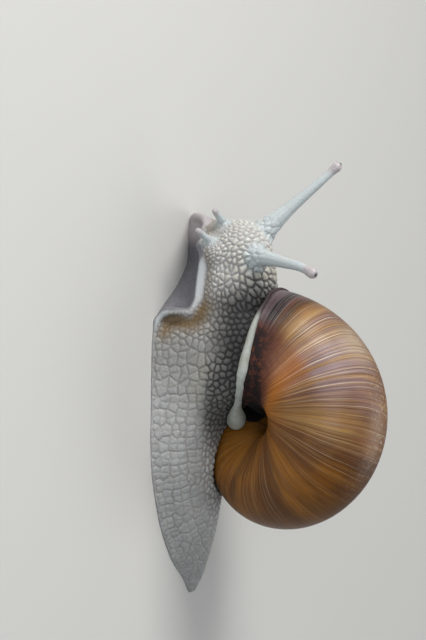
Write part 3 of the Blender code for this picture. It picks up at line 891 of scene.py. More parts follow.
@dataclass
class Shell:
    """The coiled shell: one section that grows as it turns about the axis."""

    rate: float = 2.06  # how many times as large each turn is as the one before
    turns: float = 4.7
    radius: float = 13.13
    half_width: float = 11.23
    half_height: float = 13.44
    drop: float = 26.0  # from the apex down to the middle of the section
    squareness: float = 4.5  # of the section's inner lower corner
    suture: float = math.radians(93.1)  # where a turn meets the one before
    wall: float = 0.55
    inner_turn: float = 0.14  # how far the inside runs back from the lip
    columns: int = 800
    rows: int = 96
    outer_share: float = 0.93  # of the columns; the others make the inside
    dome_share: float = 0.012  # of the outside, closes the top
    relief: float = 0.05
    fine_streaks: float = 120  # growth streaks in a turn
    broad_streaks: float = 32
    streak_slant: float = 0.4  # how fast a streak changes along its length
    apex: Vector = field(default_factory=lambda: Vector((21.7, -20.6, 20.3)) + SHIFT)
    yaw: float = math.radians(-109.5)
    rise: float = math.radians(5)
    spin: float = math.radians(-12.5)
    lip_line: tuple[tuple[float, float], ...] = (
        (-267, 0), (-180, 30), (-160, 9), (-150, -2), (-140, -9), (-125, -15), (-110, -18),
        (-80, -19), (-60, -19), (-40, -16.5), (0, -15), (60, -10), (93, 0),
    )
    navel: tuple[Place, Place] = ((33.6, 5.5, 17.2), (32.6, -1.5, 14.0))
    finish: ShellFinish = field(default_factory=lambda: ShellFinish("shell", Gloss.POLISHED))
    lead: float = math.radians(60)  # more than the lip ever stands ahead

    def axes(self) -> Matrix:
        """Turns the shell.

        Returns:
            The turn: its Z runs from base to apex, its X towards the aperture.
        """
        flat = math.cos(self.rise)
        axis = Vector((math.cos(self.yaw) * flat, math.sin(self.yaw) * flat, math.sin(self.rise)))
        ahead = Vector((1, 0, 0))
        ahead = (ahead - axis * ahead.dot(axis)).normalized()
        out = ahead * math.cos(self.spin) + axis.cross(ahead) * math.sin(self.spin)
        return Matrix((out, axis.cross(out), axis)).transposed()

    def lip_turn(self, angle: float) -> float:
        """How far the lip stands ahead of the end of the spiral.

        Args:
            angle: where on the section.

        Returns:
            The lead, in radians.
        """
        degrees = math.degrees(angle)
        for (a, start), (b, end) in zip(self.lip_line, self.lip_line[1:]):
            if degrees <= b:
                share = (degrees - a) / (b - a)
                return math.radians(start + (end - start) * share * share * (3 - 2 * share))
        return 0.0

    def growth_line(self, angle: float) -> float:
        """The lip's lead, evened out: the shape of every growth line."""
        nearby = np.radians(np.arange(-24, 25, 4))
        return float(np.mean([self.lip_turn(angle + offset) for offset in nearby]))

    def point(self, turn_angle: float, angle: float) -> Vector:
        """A point of the outside.

        Args:
            turn_angle: how far round the axis, from the end of the spiral.
            angle: where on the section.

        Returns:
            The point in millimetres.
        """
        across, along = math.cos(angle), math.sin(angle)
        if angle < -math.pi / 2:
            power = 2 / self.squareness
            across, along = -(abs(across) ** power), -(abs(along) ** power)
        reach = self.radius + self.half_width * across
        height = -self.drop + self.half_height * along
        scale = self.rate ** (turn_angle / TURN)
        local = Vector((reach * math.cos(turn_angle), -reach * math.sin(turn_angle), height))
        return self.apex + self.axes() @ local * scale

    def depth_of_navel(self, points: np.ndarray) -> np.ndarray:
        """How deep in the shade of the navel each point is.

        Args:
            points: the vertices of the shell.

        Returns:
            A number from 0 to 1 for each.
        """
        start, end = (np.array(Vector(place) + SHIFT) for place in self.navel)
        share = ((points - start) @ (end - start) / ((end - start) @ (end - start))).clip(0, 1)
        gaps = np.linalg.norm(points - start - share[:, None] * (end - start), axis=1)
        return fade(gaps, 2.2, 3.2)

    def leads(self, tree: Tree, angle: Field) -> tuple[Field, Field]:
        """Reads the lip's line and the growth lines in a tree.

        Args:
            tree: the coil's tree.
            angle: where on the section.

        Returns:
            The turns by which the lip leads, and by which every growth line leads.
        """
        low, high = math.radians(self.lip_line[0][0]), math.radians(self.lip_line[-1][0])

        def leading(line: list[tuple[float, float]]) -> Field:
            """Turns by which a line on the shell leads, from its angles on the section."""
            spots = [((a - low) / (high - low), 0.5 + b / (2 * self.lead)) for a, b in line]
            return (tree.curve((angle - low) / (high - low), spots) - 0.5) * (2 * self.lead / TURN)

        lip = leading([(math.radians(a), math.radians(b)) for a, b in self.lip_line])
        even = leading([(a, self.growth_line(a)) for a in np.linspace(low, high, 19).tolist()])
        return lip, even

    def coiled(self, tree: Tree) -> Any:
        """Rolls a grid up into the shell, about the origin.

        Args:
            tree: the coil's tree.

        Returns:
            The node that gives the shell, with its growth lines kept at its points.
        """
        grid = tree.add("GeometryNodeMeshGrid", {
            "Size X": 1.0, "Size Y": 1.0, "Vertices X": tree["Columns"], "Vertices Y": tree["Rows"],
        })
        spot = tree.add("ShaderNodeSeparateXYZ", {0: tree.add("GeometryNodeInputPosition")})
        length, round_ = (Field(tree, spot.outputs[k]) + 0.5 for k in (0, 1))
        outer = (length / self.outer_share).clamp()
        inner = ((length - self.outer_share) / (1 - self.outer_share)).clamp()
        first = tree["Growth Rate"] ** (0 - tree["Turns"])
        scale = first + (1 - first) * outer
        coil = tree.math("LOGARITHM", scale, tree["Growth Rate"]) - inner * tree["Inner Turn"]
        angle = tree["Suture Angle"] - round_ * TURN
        lip, even = self.leads(tree, angle)
        coil = coil + (coil * 2 + 1).clamp() ** 2 * lip
        scale = tree["Growth Rate"] ** coil

        power = 2 / tree["Squareness"]
        square = tree.math("LESS_THAN", angle, -math.pi / 2)
        square = square * tree.math("GREATER_THAN", angle, -math.pi)
        across, along = tree.math("COSINE", angle), tree.math("SINE", angle)
        across = across + square * (0 - across - across.abs() ** power)
        along = along + square * (0 - along - along.abs() ** power)
        slim = tree["Wall"] * (inner * 12).clamp()
        shut = ((inner - 0.8) / 0.2).clamp()
        shut = tree.math("SQRT", 1 - shut * shut)
        dome = tree.math("SQRT", 1 - (1 - (outer / self.dome_share).clamp()) ** 2)
        reach = tree["Radius"] + (tree["Half Width"] - slim) * across * shut * dome
        height = (tree["Half Height"] - slim) * along * shut * dome - tree["Drop"]
        about = coil * TURN
        x = reach * scale * tree.math("COSINE", about) * MM
        y = reach * scale * tree.math("SINE", about) * -MM
        kept = tree.store(grid, "growth", coil - even)
        kept = tree.store(kept, "across", angle)
        kept = tree.store(kept, "inside", inner.step(0.0, 0.05))
        spots = tree.vector(x, y, height * scale * MM)
        return tree.add("GeometryNodeSetPosition", {"Geometry": kept, "Position": spots})

    def build(self) -> Any:
        """Makes the shell.

        Returns:
            The object.
        """
        tree = Tree("coil", {
            "Growth Rate": self.rate, "Turns": self.turns, "Radius": self.radius,
            "Half Width": self.half_width, "Half Height": self.half_height, "Drop": self.drop,
            "Squareness": self.squareness, "Suture Angle": self.suture, "Wall": self.wall,
            "Inner Turn": self.inner_turn, "Columns": self.columns, "Rows": self.rows,
            "Relief": self.relief, "Apex": self.apex * MM,
            "Turn Of Axis": Vector(self.axes().to_euler()), "Finish": self.finish.build(),
        })
        merged = tree.add("GeometryNodeMergeByDistance", {
            "Geometry": self.coiled(tree), "Distance": SAME_PLACE,
        })
        moved = tree.add("GeometryNodeTransform", {
            "Geometry": merged, "Translation": tree["Apex"], "Rotation": tree["Turn Of Axis"],
        })
        growth, across = tree.named("growth"), tree.named("across") * self.streak_slant
        fine = tree.vector(growth * self.fine_streaks, across, 0.0)
        broad = tree.vector(growth * self.broad_streaks, across, 5.0)
        ridge = tree.noise(fine, 1.0, 3, 0.6) - 0.5
        ridge = ridge + tree.noise(broad, 1.0, 2, 0.5) - 0.5
        tree.close(tree.pushed(moved, ridge * tree["Relief"] * (1 - tree.named("inside"))))
        obj = tree.run("shell_coil")
        outward(obj)
        # painted shadow deep in the navel, kept at every point
        keep_number(obj.data, "navel_shade", self.depth_of_navel(points_of(obj.data)))
        trim(obj)
        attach(obj, BODY)
        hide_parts("shell_body_whorl", "shell_spire")
        report(obj)
        return obj


def outward(obj: Any) -> None:
    """Turns all faces of a closed mesh outwards.

    Args:
        obj: the object.
    """
    bm = bmesh.new()
    bm.from_mesh(obj.data)
    bmesh.ops.recalc_face_normals(bm, faces=bm.faces)
    bm.to_mesh(obj.data)
    bm.free()


def trim(obj: Any) -> None:
    """Presses in what stands a hair out of the solids' box."""
    low, high = (np.array(corner) / MM for corner in CAD_BOX)
    move_points(obj.data, points_of(obj.data).clip(low, high))


def report(obj: Any) -> None:
    """Logs a finished piece."""
    obj.data.calc_loop_triangles()
    log.info("%s: %d triangles", obj.name, len(obj.data.loop_triangles))


@dataclass
class ShellLip:
    """The rim of the aperture, down to the knob that folds over the navel of the shell."""

    shell: Shell
    thickness: tuple[tuple[float, float], ...] = (
        (60, 0.34), (78, 0.42), (90, 0.6), (100, 0.78), (117, 0.84), (130, 0.66), (142, 0.62),
    )
    leaves: float = math.radians(-142)
    sides: int = 20
    spacing: float = 0.35
    relief: float = 0.1
    fold: tuple[tuple[float, ...], ...] = (
        (35.4, 11.2, 16.4, 0.64), (34.0, 9.0, 15.4, 0.62), (32.7, 6.5, 14.2, 0.8),
        (31.6, 4.2, 13.2, 1.3), (30.7, 2.3, 12.4, 1.68), (30.1, 1.1, 11.8, 1.58),
        (29.7, 0.4, 11.4, 1.1), (29.5, 0.1, 11.2, 0.15),
    )
    finish: LipFinish = field(default_factory=lambda: LipFinish("lip", Gloss.CHALKY))

    def path(self) -> np.ndarray:
        """Follows the rim.

        Returns:
            Rows of place, thickness, and how bare of skin the rim is.
        """
        rows = []
        for angle in np.linspace(self.shell.suture, self.leaves, 60):
            spot = self.shell.point(self.shell.lip_turn(angle), angle)
            bare = float(ease(-math.degrees(angle), 68, 82))
            thick = float(np.interp(-math.degrees(angle), *zip(*self.thickness)))
            rows.append((*spot, thick, bare))
        for x, y, z, thick in through(self.fold, 6):
            rows.append((*(Vector((x, y, z)) + SHIFT), thick, 1.0))
        return np.array(rows)

    def build(self) -> Any:
        """Makes the rim.

        Returns:
            The object.
        """
        rows = self.path()
        mesh = bpy.data.meshes.new("lip_path")
        links = [(i, i + 1) for i in range(len(rows) - 1)]
        mesh.from_pydata([Vector(row[:3]) * MM for row in rows], links, [])
        keep_number(mesh, "thick", rows[:, 3])
        keep_number(mesh, "bare", rows[:, 4])
        host = new_object("lip_path", mesh)
        tree = Tree("rim", {
            "Sides": self.sides, "Spacing": self.spacing * MM, "Relief": self.relief,
            "Finish": self.finish.build(),
        })
        line = tree.add("GeometryNodeMeshToCurve", {0: tree.entry})
        even = tree.add(
            "GeometryNodeResampleCurve", {"Curve": line, "Length": tree["Spacing"]}, mode="LENGTH"
        )
        ring = tree.add(
            "GeometryNodeCurvePrimitiveCircle", {"Resolution": tree["Sides"], "Radius": MM}
        )
        tube = tree.add("GeometryNodeCurveToMesh", {
            0: even, 1: ring, "Fill Caps": True, "Scale": tree.named("thick"),
        })
        wave = tree.noise(tree.add("GeometryNodeInputPosition"), 700, 2, 0.5) - 0.5
        tree.close(tree.pushed(tube, wave * tree["Relief"]))
        obj = tree.run("shell_rim", host)
        bpy.data.objects.remove(host)
        outward(obj)
        trim(obj)
        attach(obj, BODY)
        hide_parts("shell_lip")
        report(obj)
        return obj


# ---------------------------------------------------------------- skin


FLESH = (
    "foot_tail", "foot_middle", "foot_front", "neck", "head", "mantle_collar",
    "upper_tentacle_left", "upper_tentacle_right", "lower_tentacle_left", "lower_tentacle_right",
)

FEELERS = tuple(name for name in FLESH if "tentacle" in name)
TILT = math.radians(22)  # the camera looks down on the snail's left side by this much
ACROSS = np.array((0, -math.sin(TILT), math.cos(TILT)))  # up that side, as the camera sees it


def onto(points: np.ndarray, names: Sequence[str]) -> tuple[np.ndarray, np.ndarray]:
    """Looks for the nearest place on some solids.

    Args:
        points: places in millimetres.
        names: the solids.

    Returns:
        The nearest place to each point, and how far it is.
    """
    corners, faces = [], []
    for name in names:
        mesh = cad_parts[name].data
        faces += [[len(corners) + k for k in face.vertices] for face in mesh.polygons]
        corners += [v.co / MM for v in mesh.vertices]
    surface = BVHTree.FromPolygons(corners, faces)
    hits = [surface.find_nearest(point) for point in points]
    return np.array([hit[0] for hit in hits]), np.array([hit[3] for hit in hits])


def tip_of(name: str) -> np.ndarray:
    """Finds the end of a feeler that is farthest from the head.

    Args:
        name: the feeler's solid.

    Returns:
        The place in millimetres.
    """
    head = points_of(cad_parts["head"].data).mean(axis=0)
    points = points_of(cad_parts[name].data)
    return points[np.argmax(np.linalg.norm(points - head, axis=1))]


def patch(spots: np.ndarray, ahead: float, up: float, width: float) -> np.ndarray:
    """A hump of 1 at one place on the head's left side, that falls off over a width."""
    height = spots @ ACROSS
    return np.exp(-(((spots[:, 0] - ahead) / width) ** 2 + ((height - up) / width) ** 2))


@dataclass
class Cells:
    """Net of furrows: each point of the skin belongs to the nearest of some seeds."""

    seeds: np.ndarray
    groups: np.ndarray

    def find(self, points: np.ndarray) -> tuple[np.ndarray, np.ndarray, np.ndarray]:
        """Looks points up.

        Args:
            points: places on the skin.

        Returns:
            The cell of each point, how far it is from the nearest border, and how far from the
            nearest border between two groups of cells.
        """
        tree = tree_of(self.seeds)
        near = np.array([[hit[1] for hit in tree.find_n(point, 9)] for point in points])
        own, other = self.seeds[near[:, :1]], self.seeds[near[:, 1:]]
        way = other - own
        border = (((own + other) / 2 - points[:, None]) * way).sum(axis=2)
        border /= np.linalg.norm(way, axis=2)
        foreign = np.where(self.groups[near[:, 1:]] == self.groups[near[:, :1]], 9.0, border)
        return near[:, 0], border.min(axis=1), foreign.min(axis=1)


@dataclass
class Skin:
    """One skin over all the soft parts."""

    swell: float = 0.2
    voxel: float = 0.34
    most_faces: int = 194_000
    seed_gap: float = 0.36  # least distance between places that a cell may take
    row_pitch: tuple[float, float] = (1.7, 2.5)  # at the ends of the foot and along its middle
    row_depths: tuple[float, ...] = (0.95, 2.3, 3.8, 5.4, 7.2, 8.8)  # in from the foot's edge
    groove_depth: float = 6.4  # where a groove runs along the foot
    shake: float = 0.16  # of the cells' borders
    cast_rounds: int = 12
    feeler_rounds: int = 8
    feeler_pull: float = 0.9  # back onto the thin feelers, which the cast makes lumpy
    scatter_density: float = 2.5e7
    scatter_seed: int = 11
    noise_seed: int = 5
    row_seed: int = 8
    pick_seed: int = 3
    tone_seed: int = 4
    finish: SkinFinish = field(default_factory=lambda: SkinFinish("skin", Gloss.MOIST))
    margin: tuple[Place, ...] = (  # the foot's edge, round by the head
        (-1.2, -6.2, 0.0), (1.8, -3.0, 0.0), (5.3, 1.9, 0.0), (10.6, 6.4, 0.0), (15.5, 8.9, 0.0),
        (21.0, 10.8, 0.0), (27.0, 11.4, 0.0), (33.5, 11.1, 0.0), (40.5, 10.9, 0.0),
        (44.0, 10.6, 0.0), (45.8, 10.4, 0.1), (47.1, 10.1, 0.5), (48.6, 9.8, 1.1),
        (49.4, 9.2, 2.8), (49.4, 8.6, 4.6), (49.3, 8.1, 6.0), (51.4, 7.5, 7.1), (54.5, 7.1, 7.4),
        (58.0, 7.0, 7.9), (60.5, 6.2, 8.0), (62.6, 5.0, 7.7), (64.2, 3.0, 7.0), (65.2, 0.8, 6.0),
        (66.0, -2.3, 4.2), (66.5, -5.6, 1.6), (66.6, -8.0, 0.2), (66.0, -9.8, 0.0),
        (64.0, -11.2, 0.0), (58.0, -11.8, 0.0), (48.9, -11.8, 0.0), (40.5, -11.9, 0.0),
        (31.0, -11.8, 0.0), (21.0, -12.0, 0.0), (15.5, -12.1, 0.0), (10.6, -12.0, 0.0),
        (5.3, -10.9, 0.0), (1.8, -9.6, 0.0), (-1.2, -7.0, 0.0),
    )

    def cast(self) -> Any:
        """Makes one closed surface round all the soft solids, without the gaps between them.

        Returns:
            The object.
        """
        whole = bmesh.new()
        for name in FLESH:
            part = bmesh.new()
            part.from_mesh(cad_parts[name].data)
            bmesh.ops.remove_doubles(part, verts=part.verts, dist=SAME_PLACE)
            part.normal_update()
            moves = [
                v.normal * self.swell * MM * min(v.calc_shell_factor(), 2.0) for v in part.verts
            ]
            for v, move in zip(part.verts, moves):
                v.co += move
            mesh = bpy.data.meshes.new(name)
            part.to_mesh(mesh)
            part.free()
            whole.from_mesh(mesh)
            bpy.data.meshes.remove(mesh)
        mesh = bpy.data.meshes.new("cast")
        whole.to_mesh(mesh)
        whole.free()
        obj = new_object("cast", mesh)
        finished(obj, remesh={"mode": "VOXEL", "voxel_size": self.voxel * MM})
        in_order(obj)
        mesh = obj.data
        even = smoothed(points_of(mesh), edges_of(mesh), self.cast_rounds)
        move_points(mesh, even)
        move_points(mesh, even - normals_of(mesh) * self.swell)
        finished(obj, subsurf={"levels": 1, "render_levels": 1})
        mesh = obj.data
        points = points_of(mesh)
        surface, gaps = onto(points, FEELERS)
        pull = self.feeler_pull * fade(gaps, 0.3, 1.0)[:, None]
        points = points + pull * (surface - points)
        even = smoothed(points, edges_of(mesh), self.feeler_rounds)
        move_points(mesh, points + (even - points) * (pull > 0))
        return obj

    def along_margin(self, spots: np.ndarray) -> tuple[np.ndarray, np.ndarray]:
        """Measures from the edge of the foot.

        Args:
            spots: places on the skin.

        Returns:
            The distance of each, and how far along the edge it is.
        """
        line = through(self.margin, 40)
        arc = np.concatenate([[0], np.cumsum(np.linalg.norm(np.diff(line, axis=0), axis=1))])
        index, gap = nearest(line, spots)
        return gap, arc[index]

    def candidates(self, obj: Any) -> np.ndarray:
        """Scatters places evenly over the skin.

        Args:
            obj: the skin.

        Returns:
            The places.
        """
        tree = Tree("scatter", {
            "Least Distance": self.seed_gap * MM, "Density": self.scatter_density,
            "Seed": self.scatter_seed, "Finish": obj.data.materials[0],
        })
        spread = tree.add("GeometryNodeDistributePointsOnFaces", {
            "Mesh": tree.entry, "Distance Min": tree["Least Distance"],
            "Density Max": tree["Density"], "Seed": tree["Seed"],
        }, distribute_method="POISSON")
        tree.close(tree.add("GeometryNodePointsToVertices", {0: spread}))
        scattered = tree.run("scatter", obj)
        places = points_of(scattered.data)
        bpy.data.objects.remove(scattered)
        return places

    def warped(self, spots: np.ndarray) -> np.ndarray:
        """Squeezes places where the pimples are long, and shakes them to bend the borders.

        Args:
            spots: places on the skin.

        Returns:
            The places in which cells are measured.
        """
        shake = np.array([noise.noise_vector(Vector(spot) * 0.9) for spot in spots])
        out = spots + shake * self.shake
        side = np.where(spots[:, 1] > 0, 1, -1)
        lengthwise = np.stack([-0.51 + 0 * side, -0.32 * side, 0.79 + 0 * side], axis=1)
        reach = (out * lengthwise).sum(axis=1) * patch(spots, 56, 12.5, 5.5) * 0.15
        return out - lengthwise * reach[:, None]

    @staticmethod
    def pitch(spots: np.ndarray, edge: np.ndarray) -> np.ndarray:
        """How wide a cell is at each place.

        Args:
            spots: places on the skin.
            edge: how far each is from the edge of the foot.

        Returns:
            The widths.
        """
        x = spots[:, 0]
        head = ease(x, 51, 56) * ease(edge, 1.5, 5)
        neck = ease(edge, 8, 11) * ease(x, 34, 42) * (1 - head)
        front = ease(x, 44, 48) * fade(edge, 3, 6)
        width = 0.86 + 0.1 * neck + 0.14 * head - 0.44 * patch(spots, 64, 8, 4)
        return width * (1 - 0.3 * front)

    def thinned(self, places: np.ndarray, widths: np.ndarray) -> np.ndarray:
        """Picks seeds so that none is nearer to another than the width of a cell.

        Args:
            places: where a seed may be.
            widths: how wide a cell is there.

        Returns:
            Which places are picked.
        """
        order = np.random.default_rng(self.pick_seed).permutation(len(places))
        tree = tree_of(places)
        taken = np.zeros(len(places), bool)
        blocked = np.zeros(len(places), bool)
        for index in order:
            if not blocked[index]:
                taken[index] = True
                for _, other, _ in tree.find_range(places[index], widths[index]):
                    blocked[other] = True
        return np.flatnonzero(taken)

    def rows(self, side: np.ndarray, edge: np.ndarray, arc: np.ndarray) -> np.ndarray:
        """Seeds that stand in rows across the foot.

        Args:
            side: the vertices that they may stand on.
            edge: distance of each vertex from the edge of the foot.
            arc: how far along the edge each vertex is.

        Returns:
            For each seed its vertex and the plate it belongs to.
        """
        picks = np.random.default_rng(self.row_seed)
        chart = tree_of(np.stack([arc[side], edge[side], np.zeros(len(side))], axis=1))
        end = float(arc.max())
        found, start, plate = {}, 0.4, 0
        while start < end:
            pitch = float(np.interp(min(start, end - start), (6, 16), self.row_pitch))
            slip = picks.normal(0, 0.1)
            drift = picks.normal(0, 0.28, len(self.row_depths))
            split = picks.random(3) < 0.4
            for part in (0.25, 0.75):
                for column, depth in enumerate(self.row_depths):
                    shift = (part - 0.5) * (0.5 if column % 2 else -0.5)
                    free = min(1.0, abs(depth - self.groove_depth) / 2)
                    spot = (start + slip + part * pitch + picks.normal(0, 0.14),
                            depth + shift * free + drift[column] * free + picks.normal(0, 0.17), 0)
                    _, index, gap = chart.find(spot)
                    if gap < 0.45:
                        beyond = int(depth > self.groove_depth)
                        between = int(split[beyond] and column % 3 > 1)
                        found[side[index]] = plate + 2 * beyond + between
            start += pitch
            plate += 4
        return np.array(sorted(found.items()))

    def feelers(self, points: np.ndarray) -> dict[str, np.ndarray]:
        """What belongs to the feelers.

        Args:
            points: the vertices of the skin.

        Returns:
            For each vertex, from 0 to 1: how much feeler it is, whether it is on a round end, and
            how smooth it is.
        """
        away = onto(points, FEELERS)[1]
        tips = [np.linalg.norm(points - tip_of(name), axis=1) for name in FEELERS]
        lengths = [
            np.linalg.norm(points_of(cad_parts[name].data) - tip_of(name), axis=1).max()
            for name in FEELERS
        ]
        shares = [tip / length for tip, length in zip(tips, lengths)]
        root = ease(np.min(shares, axis=0), 0.74, 0.98)
        upper, lower = np.minimum(*tips[:2]), np.minimum(*tips[2:])
        return {
            "horn": fade(away, 0.15, 1.6),
            "bulb": np.maximum(fade(upper, 1.8, 3.4), fade(lower, 0.8, 1.8)),
            "bare": fade(away, 0.05, 0.5) * (1 - 0.65 * root),
        }

    @staticmethod
    def regions(spots: np.ndarray, edge: np.ndarray, horn: np.ndarray) -> dict[str, np.ndarray]:
        """Finds the parts of the body that look different, and where shade is painted.

        Places run from the tip of the tail, 0, to the front of the head, 67.

        Args:
            spots: the vertices of the skin.
            edge: how far each is from the edge of the foot.
            horn: how much each is feeler.

        Returns:
            For each vertex, from 0 to 1, how much it is in each region.
        """
        x, y, _ = spots.T
        lip = ShellLip(Shell()).path()[:, :3] - np.array(SHIFT)
        # painted shadow of the shell beside its lip, and weaker painted shade on top of the foot
        shade = fade(nearest(lip, spots)[1], 4.4, 8.2 + 5.2 * ease(x, 34, 45))
        shade = (0.8 + 0.2 * ease(x, 34, 42)) * shade * fade(x, 50, 57.5) * ease(x, 20, 31)
        shade = np.maximum(shade, 0.3 * ease(x, 33, 42) * fade(x, 46, 52) * (1 - horn))
        neck = ease(edge, 4.5, 9.5) * ease(x, 30, 36) * fade(x, 55, 61.5)
        width = 0.6 + 0.45 * ease(x, 49.5, 51.5)
        rim = fade(edge, width - 0.15, width + 0.45) * fade(x, 60.5, 63)
        # umber: brown band under the fold, partly painted shade in the hollow there
        umber = bell(edge - 1.7, np.where(edge < 1.7, 0.8, 1.9 - 1.0 * ease(x, 50, 54)))
        umber *= ease(x, 43.0, 46.5) * ease(y, 0, 4) * (1 - 0.72 * ease(x, 49.5, 53))
        foot = fade(edge, 8.8, 10.2) * fade(x, 42.5, 45.5) * ease(edge, 0.2, 0.6)
        # the neck takes in the painted shadow too, so its dark furrows run through it
        return {
            "shade": shade, "neck": np.maximum(neck, shade), "umber": umber, "foot": foot,
            "rim": rim * ease(x, 45, 48.5) * ease(y, -8, -3),
            "cream": ease(x, 49, 55) * ease(edge, 1.5, 4),
        }

    def furrows(self, places: np.ndarray, spots: np.ndarray, edge: np.ndarray, foot: np.ndarray,
                row: np.ndarray) -> dict[str, np.ndarray]:
        """The net of furrows.

        Args:
            places: where a cell may be, off the rows.
            spots: the vertices of the skin.
            edge: how far each is from the edge of the foot.
            foot: how much each belongs to the side of the foot.
            row: vertex and plate of each cell that stands in a row.

        Returns:
            For each vertex, its distance from the nearest furrow and from the nearest groove
            between two plates, and how pale its cell is.
        """
        ruled = spots[row[:, 0]]
        vertex = nearest(spots, places)[0]
        clear = nearest(ruled, places)[1] > 0.9
        clear &= (foot[vertex] < 0.75) | (np.abs(edge[vertex] - 9.6) < 0.6)
        places, vertex = places[clear], vertex[clear]
        picked = self.thinned(self.warped(places), self.pitch(places, edge[vertex]))
        seeds = self.warped(np.concatenate([ruled, places[picked]]))
        group = np.concatenate([row[:, 1], row[:, 1].max() + 1 + np.arange(len(picked))])
        cell, gap, groove = Cells(seeds, group).find(self.warped(spots))
        tone = np.random.default_rng(self.tone_seed).random(len(seeds))[cell]
        return {"gap": gap.clip(0, 1), "groove": groove.clip(0, 1), "tone": tone}

    def describe(self, obj: Any) -> None:
        """Keeps what the relief and the colours need at every vertex.

        Args:
            obj: the skin.
        """
        noise.seed_set(self.noise_seed)
        mesh = obj.data
        points, normals, edges = points_of(mesh), normals_of(mesh), edges_of(mesh)
        spots = points - np.array(SHIFT)
        edge, arc = self.along_margin(spots)
        x, _, z = spots.T
        kept = self.feelers(points)
        bare, bulb = kept.pop("bare"), kept["bulb"]
        kept |= self.regions(spots, edge, kept["horn"])
        under = self.underside(spots, normals) * (kept["horn"] < 0.5)
        under = smoothed(under, edges, 5, volume=False)

        side = np.flatnonzero((z > 0.12) & (kept["horn"] < 0.2))
        row = self.rows(side, edge, arc)
        row = row[kept["foot"][row[:, 0]] > 0.3]
        places = self.candidates(obj) - np.array(SHIFT)
        kept |= self.furrows(places, spots, edge, kept["foot"], row)

        lobe = ease(x, 60.5, 63.5) * np.maximum(under, fade(edge, 0.9, 1.4))
        line = bell(edge - 1.3, 0.15) * (1 - under) * ease(x, 49.5, 51) * fade(x, 60, 62)
        still = 0.6 * kept["umber"] * fade(x, 49, 51)
        calm = [under, bare, kept["rim"], lobe, still, fade(edge, 0.15, 0.6)]
        kept |= {"arc": arc, "sole": under, "line": line, "bulb": np.maximum(bulb, lobe),
                 "calm": np.maximum.reduce(calm)}
        for name, values in kept.items():
            keep_number(mesh, name, values)

    def underside(self, spots: np.ndarray, normals: np.ndarray) -> np.ndarray:
        """Finds the sole: what is flat on the floor, or below the lifted edge.

        Args:
            spots: the vertices of the skin.
            normals: the outward direction at each.

        Returns:
            1 for each vertex of the sole, 0 for the others.
        """
        x, y, z = spots.T
        line = through(self.margin, 12)
        place = line[nearest(line, spots)[0]]
        steep = 0.9 * fade(place[:, 0], 49, 53)
        down = np.stack([steep, 0.45 + 0 * steep, -0.75 + 0 * steep], axis=1)
        below = ((spots - place) * down).sum(axis=1) > 0.45
        lifted = (x > 45.5) & (z < 8.5) & (place[:, 1] > -8) & below
        facing = (normals[:, 2] < -0.5) & (x > 43) & (z < 8.5)
        left = line[:int(np.argmax(line[:, 0])) + 1]
        height = np.interp(x, np.maximum.accumulate(left[:, 0]), left[:, 2])
        hidden = (x > 49.5) & (z < height - 0.45) & (normals[:, 1] > -0.2)
        hidden |= (x > 48.8) & (z < height - 0.3) & (normals[:, 0] > 0.4)
        hidden &= y > -9.5
        return (lifted | facing | hidden | (z < 0.1)) * 1.0

    def relief(self, obj: Any) -> Any:
        """Presses the furrows into the skin.

        Args:
            obj: the skin, which is used up.

        Returns:
            The new object.
        """
        tree = Tree("relief", {
            "Furrow Width": 0.15, "Furrow Depth": 0.11, "Groove Depth": 0.08, "Dome": 0.13,
            "Head Dome": 0.15, "Fine Line": 0.18, "Finish": obj.data.materials[0],
        })
        gap, groove, foot, calm, head, line = (
            tree.named(name) for name in ("gap", "groove", "foot", "calm", "cream", "line")
        )
        narrow = gap.bell(tree["Furrow Width"])
        wide = groove.bell(tree["Furrow Width"]) * foot
        slump = 1 - gap.step(0.0, 0.46)
        depth = narrow * tree["Furrow Depth"] * (1 - foot * 0.7) + wide * tree["Groove Depth"]
        depth = depth + slump * (tree["Dome"] * (1 - foot * 0.8) + tree["Head Dome"] * head)
        depth = depth * (1 - calm) + line * tree["Fine Line"]
        tree.close(tree.pushed(tree.entry, 0 - depth))
        done = tree.run("skin", obj)
        bpy.data.objects.remove(obj)
        return done

    def build(self) -> Any:
        """Makes the skin.

        Returns:
            The object.
        """
        cast = self.cast()
        mesh = cast.data
        points = points_of(mesh)
        points[:, 2] *= ease(points[:, 2], 0.08, 0.3)
        move_points(mesh, points)
        mesh.materials.clear()
        mesh.materials.append(self.finish.build())
        self.describe(cast)
        obj = self.relief(cast)
        log.info("skin before it is thinned: %d faces", len(obj.data.polygons))
        ratio = self.most_faces / (2 * len(obj.data.polygons))
        finished(obj, decimate={"ratio": min(1.0, ratio)})
        trim(obj)
        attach(obj, BODY)
        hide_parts(*FLESH)
        report(obj)
        return obj


@dataclass
class Eyes:
    """The eye spots at the tips of the upper feelers."""

    finish: EyeFinish = field(default_factory=lambda: EyeFinish("eye", Gloss.WET))

    def build(self) -> None:
        """Gives both eyes their finish."""
        material = self.finish.build()
        for name in ("eye_left", "eye_right"):
            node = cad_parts[name]
            node.data.materials.clear()
            node.data.materials.append(material)
            report(node)


# ---------------------------------------------------------------- studio


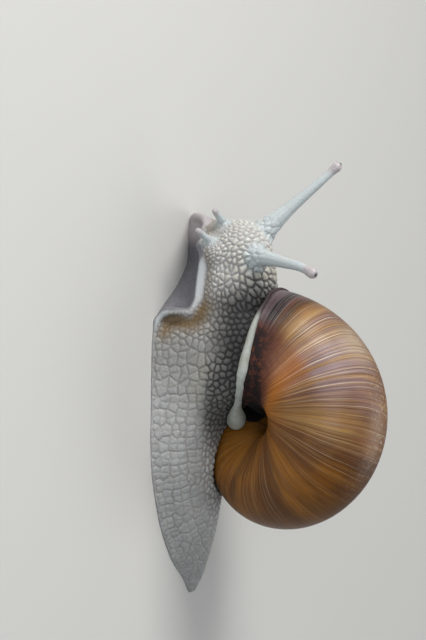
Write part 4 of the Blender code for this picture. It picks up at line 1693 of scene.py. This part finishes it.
@dataclass
class Studio:
    """Floor, lights and camera."""

    tilt: float = TILT
    aim: Place = (47.84, 6.56, 5.0)
    distance: float = 395.0
    lens: float = 36 * 400 / 113.4
    floor_size: float = 4.0
    sky: Colour = (0.75, 0.78, 0.82)
    sky_strength: float = 0.32
    lights: tuple[tuple[str, Place, float, float, Colour], ...] = (
        ("key", (0.42, 0.12, 0.30), 0.30, 2.6, (1.0, 0.97, 0.93)),
        ("front", (0.05, 0.45, 0.28), 0.35, 0.9, (0.95, 0.98, 1.0)),
        ("back", (-0.1, -0.35, 0.4), 0.3, 0.6, (1.0, 0.98, 0.95)),
    )

    def axes(self) -> tuple[Vector, Vector, Vector]:
        """Finds the camera's axes.

        Returns:
            Right, up and towards the camera.
        """
        right = Vector((0, -math.sin(self.tilt), math.cos(self.tilt)))
        back = Vector((0, math.cos(self.tilt), math.sin(self.tilt)))
        return right, Vector((1, 0, 0)), back

    def set_camera(self) -> None:
        """Places the camera."""
        right, up, back = self.axes()
        ahead, across, near = self.aim
        target = up * ahead + right * across + back * near + SHIFT
        data = bpy.data.cameras.new("camera")
        data.sensor_fit = "VERTICAL"
        data.sensor_height = 36
        data.lens = self.lens
        data.clip_start, data.clip_end = 0.02, 20
        camera = bpy.data.objects.new("camera", data)
        turn = Matrix((right, up, back)).transposed().to_4x4()
        camera.matrix_world = Matrix.Translation((target + back * self.distance) * MM) @ turn
        bpy.context.scene.collection.objects.link(camera)
        bpy.context.scene.camera = camera

    @staticmethod
    def add_light(name: str, place: Place, size: float, power: float, colour: Colour) -> None:
        """Adds a soft panel that faces the snail.

        Args:
            name: the light's name.
            place: where it is, in metres.
            size: side of the panel, in metres.
            power: watts.
            colour: its colour.
        """
        data = bpy.data.lights.new(name, "AREA")
        data.size, data.energy, data.color = size, power, colour
        light = bpy.data.objects.new(name, data)
        light.location = place
        way = Vector((0, 0, 0.015)) - Vector(place)
        light.rotation_euler = way.to_track_quat("-Z", "Y").to_euler()
        bpy.context.scene.collection.objects.link(light)

    def build(self) -> None:
        """Makes the studio."""
        half = self.floor_size / 2
        corners = [(-half, -half, 0), (half, -half, 0), (half, half, 0), (-half, half, 0)]
        mesh = bpy.data.meshes.new("floor")
        mesh.from_pydata(corners, [], [(0, 1, 2, 3)])
        floor = new_object("floor", mesh)
        mesh.materials.append(FloorFinish("floor", Gloss.MATT).build())
        world = bpy.data.worlds.new("studio")
        world.use_nodes = True
        sky = world.node_tree.nodes["Background"]
        sky.inputs["Color"].default_value = rgba(self.sky)
        sky.inputs["Strength"].default_value = self.sky_strength
        bpy.context.scene.world = world
        for light in self.lights:
            self.add_light(*light)
        self.set_camera()
        bpy.context.scene.view_settings.view_transform = "Standard"


def main() -> None:
    """Builds the snail and its studio."""
    logging.basicConfig(level=logging.INFO, format="%(name)s: %(message)s")
    shell = Shell()
    shell.build()
    ShellLip(shell).build()
    Skin().build()
    Eyes().build()
    Studio().build()


if __name__ == "__main__":
    main()
